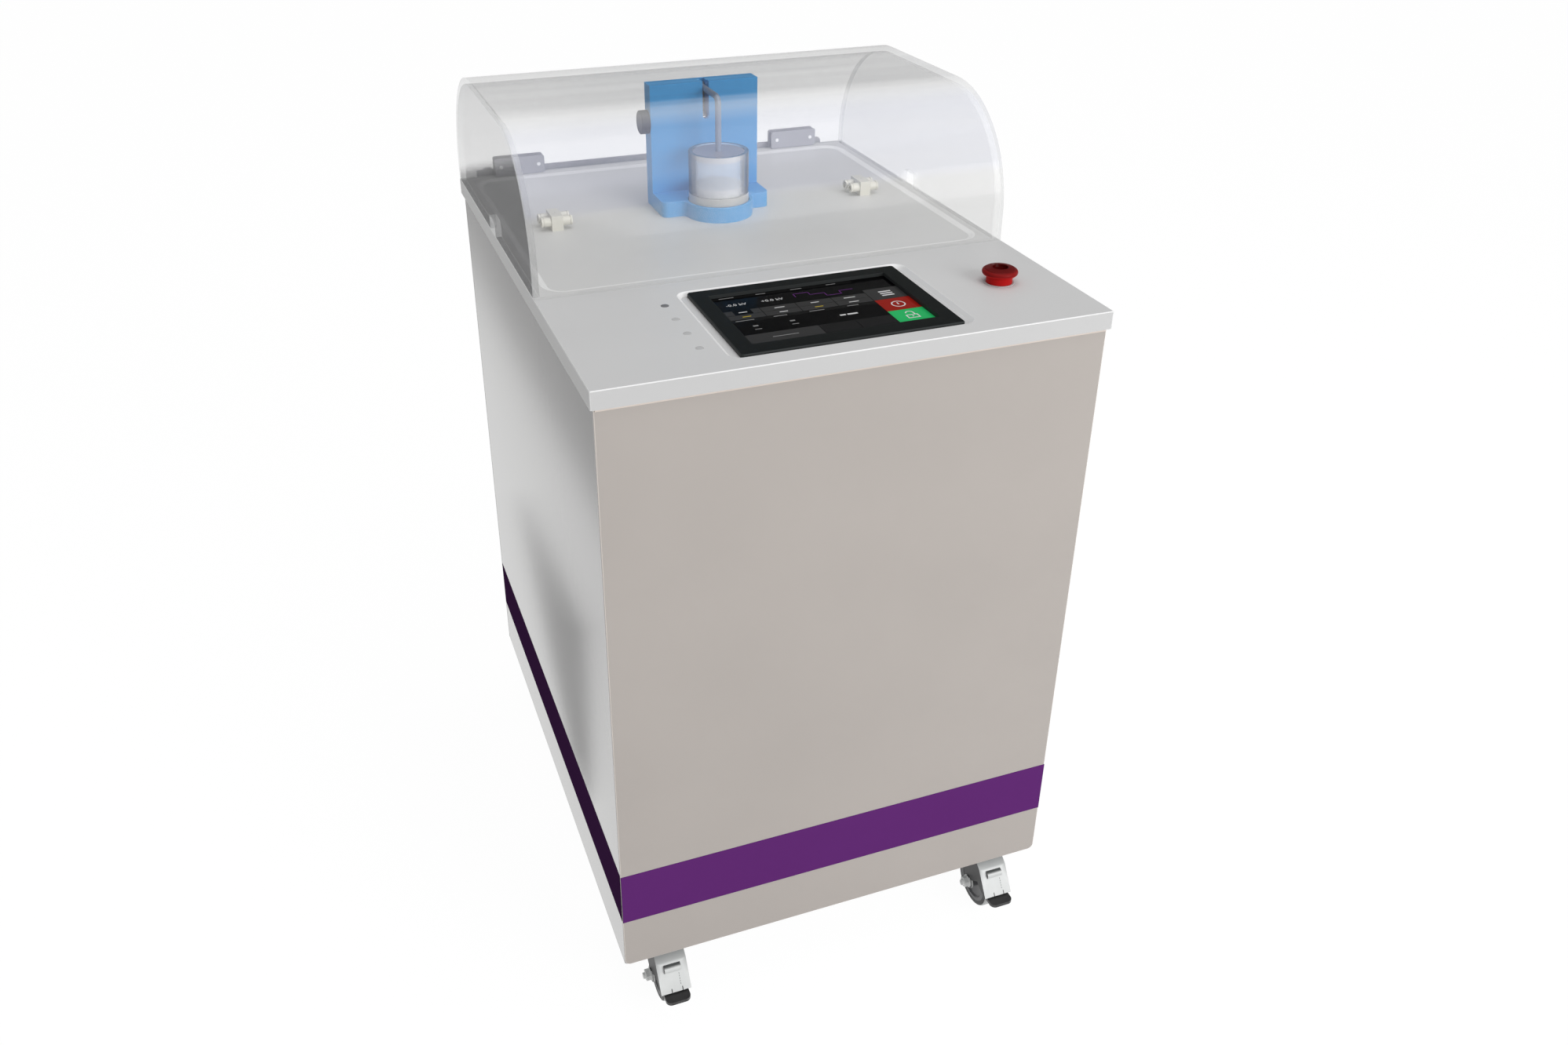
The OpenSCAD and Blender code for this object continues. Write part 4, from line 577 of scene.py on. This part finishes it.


# Hood: a clear plastic sheet, bent at the front and the rear, with a flat end bonded inside
# each side. It is faintly grey with long soft streaks in its cover that are painted reflections,
# looks denser where it is seen at a slant, and its sawn and polished edges are milky.
def tinted(name, zones, cover, slant, rough, gloss=0.5, streak=0.0, start=0.015, lean=1.0,
           foot=0.90, span=0.5):
    """A clear sheet that lets most light through. The zones follow it from its foot up the
    front and back over the top: each has a place in metres within the span, a colour and a
    share of the cover. Behind the start, a way to the back counts by the lean."""
    made, tree, shader = new_material(name)
    feed(shader.inputs["Specular IOR Level"], gloss)
    place = add(tree, "TexCoord")
    split = add(tree, "SeparateXYZ", Vector=place.outputs["Object"])
    back = worked(tree, "SUBTRACT", split.outputs["Y"], start)
    back = worked(tree, "MULTIPLY", worked(tree, "MAXIMUM", back, 0.0), lean)
    rise = worked(tree, "SUBTRACT", split.outputs["Z"], foot)
    along = worked(tree, "MULTIPLY", worked(tree, "ADD", rise, back), 1 / span)
    tint = add(tree, "ValToRGB", Fac=along)
    share = add(tree, "ValToRGB", Fac=along)
    for ramp in (tint.color_ramp, share.color_ramp):
        ramp.interpolation = "EASE"
        while len(ramp.elements) < len(zones):
            ramp.elements.new(1.0)
    for i, (at, colour, part_of) in enumerate(zones):
        tint.color_ramp.elements[i].position = at / span
        tint.color_ramp.elements[i].color = (*colour, 1)
        share.color_ramp.elements[i].position = at / span
        share.color_ramp.elements[i].color = (part_of, part_of, part_of, 1)
    feed(shader.inputs["Base Color"], tint.outputs["Color"])
    # Long soft streaks in the cover stand in for reflections: painted reflection.
    lay = add(tree, "Mapping", Vector=place.outputs["Object"], Scale=(0.05, 1.0, 1.0))
    reflection_streaks = add(tree, "TexNoise", Vector=lay.outputs["Vector"], Scale=22.0, Detail=2.0)
    facing = add(tree, "LayerWeight", Blend=0.5)
    thick = add(tree, "MapRange", Value=worked(tree, "POWER", facing.outputs["Facing"], 3.0),
                To_Min=cover, To_Max=slant)
    wave = add(tree, "MapRange", Value=reflection_streaks.outputs["Fac"], From_Min=0.3, From_Max=0.7,
               To_Min=1.0 - streak, To_Max=1.0 + streak)
    whole = worked(tree, "MULTIPLY", thick.outputs["Result"], wave.outputs["Result"])
    feed(shader.inputs["Alpha"], worked(tree, "MULTIPLY", whole, share.outputs["Color"]))
    sheen = add(tree, "MapRange", Value=reflection_streaks.outputs["Fac"], To_Min=rough, To_Max=rough + 0.08)
    feed(shader.inputs["Roughness"], sheen.outputs["Result"])
    return made


# A dark grey darkens a band across the upper front bend of the sheet: painted shade over what
# shows through it.
warm, cool, shade_band = (0.63, 0.63, 0.61), (0.66, 0.69, 0.85), (0.13, 0.13, 0.13)
pale_top, pale_rear = (0.90, 0.90, 0.90), (0.60, 0.60, 0.60)
left_end_shade, milk, pale = (0.06, 0.06, 0.065), (0.84, 0.85, 0.85), (0.62, 0.62, 0.63)
grey = (0.45, 0.45, 0.46)
sheet_zones = ((0.0, warm, 1.0), (0.098, warm, 1.0), (0.108, cool, 1.0), (0.172, cool, 1.0),
               (0.184, pale_top, 0.8), (0.205, shade_band, 0.50), (0.36, shade_band, 0.5),
               (0.38, pale_rear, 0.8))
# The left end is a darker copy of the end sheet: its lower front part, below a line that falls
# towards the rear, is painted near black, as painted shade.
left_zones = ((0.0, left_end_shade, 1.6), (0.165, left_end_shade, 1.6), (0.185, pale, 0.62))
hood_sheet = tinted("hood sheet", sheet_zones, cover=0.125, slant=0.60, rough=0.06, streak=0.25)
hood_left_shaded = tinted("left hood end with painted shade", left_zones, cover=0.05, slant=0.57, rough=0.12, gloss=0.03,
                   start=-0.125, lean=0.3)
hood_right = tinted("right hood end", ((0.0, grey, 1.0), (0.1, grey, 1.0)), cover=0.09,
                    slant=0.45, rough=0.12)
hood_edge = tinted("hood sheet edge", ((0.0, milk, 1.0), (0.1, milk, 1.0)), cover=0.25,
                   slant=0.40, rough=0.2)
see_through(eased("hood_canopy", "hood_canopy_sheet", hood_sheet, "hood", ease=0.4,
                  second=hood_edge, picked=lambda face: abs(face.normal.x) > 0.5))
end_middle = Vector((0, 0.125, 0.9125))
end_fit = 0.998
for part, finish in (("hood_end_left", hood_left_shaded), ("hood_end_right", hood_right)):
    end = eased(part, part + "_sheet", finish, "hood", ease=0.4,
                second=hood_edge, picked=lambda face: abs(face.normal.x) < 0.9)
    see_through(end)
    rim = bmesh.new()
    rim.from_mesh(end.data)
    bmesh.ops.scale(rim, vec=(1, end_fit, end_fit), verts=rim.verts,
                    space=Matrix.Translation(-end_middle))
    rim.to_mesh(end.data)
    rim.free()


# Studio floor: plain and pale, and far wider than the picture. It keeps the object's shadow
# and looks white to the camera.
def staged(name, bm, material):
    """Turns a finished bmesh into a prop of the studio, which is no piece of the object."""
    mesh = bpy.data.meshes.new(name)
    bm.to_mesh(mesh)
    bm.free()
    mesh.materials.append(material)
    prop = bpy.data.objects.new(name, mesh)
    bpy.context.scene.collection.objects.link(prop)
    return prop


floor_level, floor_share = 1.04, 0.93
floor_white, tree, shiny = new_material("studio floor")
tree.nodes.remove(shiny)
matt = add(tree, "BsdfDiffuse", Color=(0.75, 0.75, 0.75, 1))
bright = add(tree, "Emission", Strength=floor_level)
path = add(tree, "LightPath")
through = worked(tree, "MAXIMUM", path.outputs["Is Glossy Ray"],
                 path.outputs["Is Transmission Ray"])
seen = worked(tree, "MAXIMUM", path.outputs["Is Camera Ray"], through)
blend = add(tree, "MixShader", Fac=worked(tree, "MULTIPLY", seen, floor_share))
feed(blend.inputs[1], matt.outputs[0])
feed(blend.inputs[2], bright.outputs[0])
feed(tree.nodes["Material Output"].inputs["Surface"], blend.outputs[0])
floor_bm = bmesh.new()
bmesh.ops.create_grid(floor_bm, x_segments=1, y_segments=1, size=30)
staged("floor", floor_bm, floor_white)

# Flags: two dark cloths on the floor beside and behind the cabinet. Only the glossy surfaces
# see them, as soft dark streaks.
flag_height = 0.001
beside = ((-0.350, 0.02), (-0.350, 0.16), (-0.445, 1.05), (-0.455, 0.48))
behind = ((-0.590, 0.1), (-0.590, 3.5), (-1.1, 3.5), (-1.1, 0.1))
for name, outline, level in (("near_flag", beside, 0.28), ("far_flag", behind, 0.42)):
    cloth, tree, dull = new_material(name.replace("_", " "))
    feed(dull.inputs["Base Color"], (0, 0, 0, 1))
    feed(dull.inputs["Roughness"], 1.0)
    feed(dull.inputs["Specular IOR Level"], 0.0)
    feed(dull.inputs["Emission Color"], (level, level, level, 1))
    feed(dull.inputs["Emission Strength"], 1.0)
    flag_bm = bmesh.new()
    flag_bm.faces.new([flag_bm.verts.new((x, y, flag_height)) for x, y in outline])
    flag = staged(name, flag_bm, cloth)
    flag.visible_camera = False
    flag.visible_diffuse = False
    flag.visible_transmission = False
    flag.visible_shadow = False

# Studio sky: an even soft light that is weaker on the left. Shiny faces see it darker behind
# the object, and the camera sees it white.
scene = bpy.context.scene
world = bpy.data.worlds.new("studio sky")
scene.world = world
world.use_nodes = True
sky = world.node_tree
back = sky.nodes["Background"]
ray = add(sky, "LightPath")
toward = add(sky, "TexCoord")
sides = add(sky, "SeparateXYZ", Vector=toward.outputs["Generated"])


def graded(axis, start, end, low, high):
    """A level of light that changes smoothly from one to another along an axis of the sky."""
    step = add(sky, "MapRange", Value=sides.outputs[axis], From_Min=start, From_Max=end,
               To_Min=low, To_Max=high)
    step.interpolation_type = "SMOOTHSTEP"
    return step.outputs["Result"]


soft = graded("X", start=-0.9, end=0.4, low=0.42, high=0.50)
mirrored = graded("X", start=-0.8, end=0.1, low=0.40, high=0.95)
darker_behind = graded("Y", start=0.0, end=0.6, low=1.0, high=0.15)
pick = add(sky, "Mix", Factor=ray.outputs["Is Glossy Ray"], A=soft,
           B=worked(sky, "MULTIPLY", mirrored, darker_behind))
either = worked(sky, "MAXIMUM", ray.outputs["Is Camera Ray"], ray.outputs["Is Transmission Ray"])
level = add(sky, "Mix", Factor=either, A=pick.outputs["Result"], B=1.0)
feed(back.inputs["Strength"], level.outputs["Result"])
feed(back.inputs["Color"], (1, 1, 1, 1))


# Lamps: two large soft boxes, one at the front right and one overhead. They give the top its
# even light and the edges their thin highlights.
def lamp(name, place, aim, size, power):
    """A square soft lamp that points at a place."""
    light = bpy.data.lights.new(name, "AREA")
    light.size = size
    light.energy = power
    holder = bpy.data.objects.new(name, light)
    scene.collection.objects.link(holder)
    holder.location = place
    holder.rotation_mode = "QUATERNION"
    holder.rotation_quaternion = (Vector(aim) - Vector(place)).to_track_quat("-Z", "Y")


lamp("key lamp", (1.6, -3.4, 2.0), aim=(0, 0, 0.5), size=2.0, power=75)
lamp("top lamp", (0.3, -0.4, 3.2), aim=(0, 0, 0.9), size=2.0, power=20)

# Camera: the photograph's place and angle, worked out from the cabinet's corners, with its
# small shift of the picture.
azimuth = math.radians(-20.0)
elevation = math.radians(28.42)
eye = bpy.data.cameras.new("camera")
eye.sensor_width = 36.0
eye.lens = 30.355
eye.shift_x = 0.0288
eye.shift_y = -0.0469
eye.clip_end = 100.0
camera = bpy.data.objects.new("camera", eye)
scene.collection.objects.link(camera)
camera.location = (-0.5592, -1.5150, 1.4770)
away = Vector((math.sin(azimuth) * math.cos(elevation), -math.cos(azimuth) * math.cos(elevation),
               math.sin(elevation)))
camera.rotation_mode = "QUATERNION"
camera.rotation_quaternion = (-away).to_track_quat("-Z", "Y")
scene.camera = camera
scene.view_settings.view_transform = "Standard"
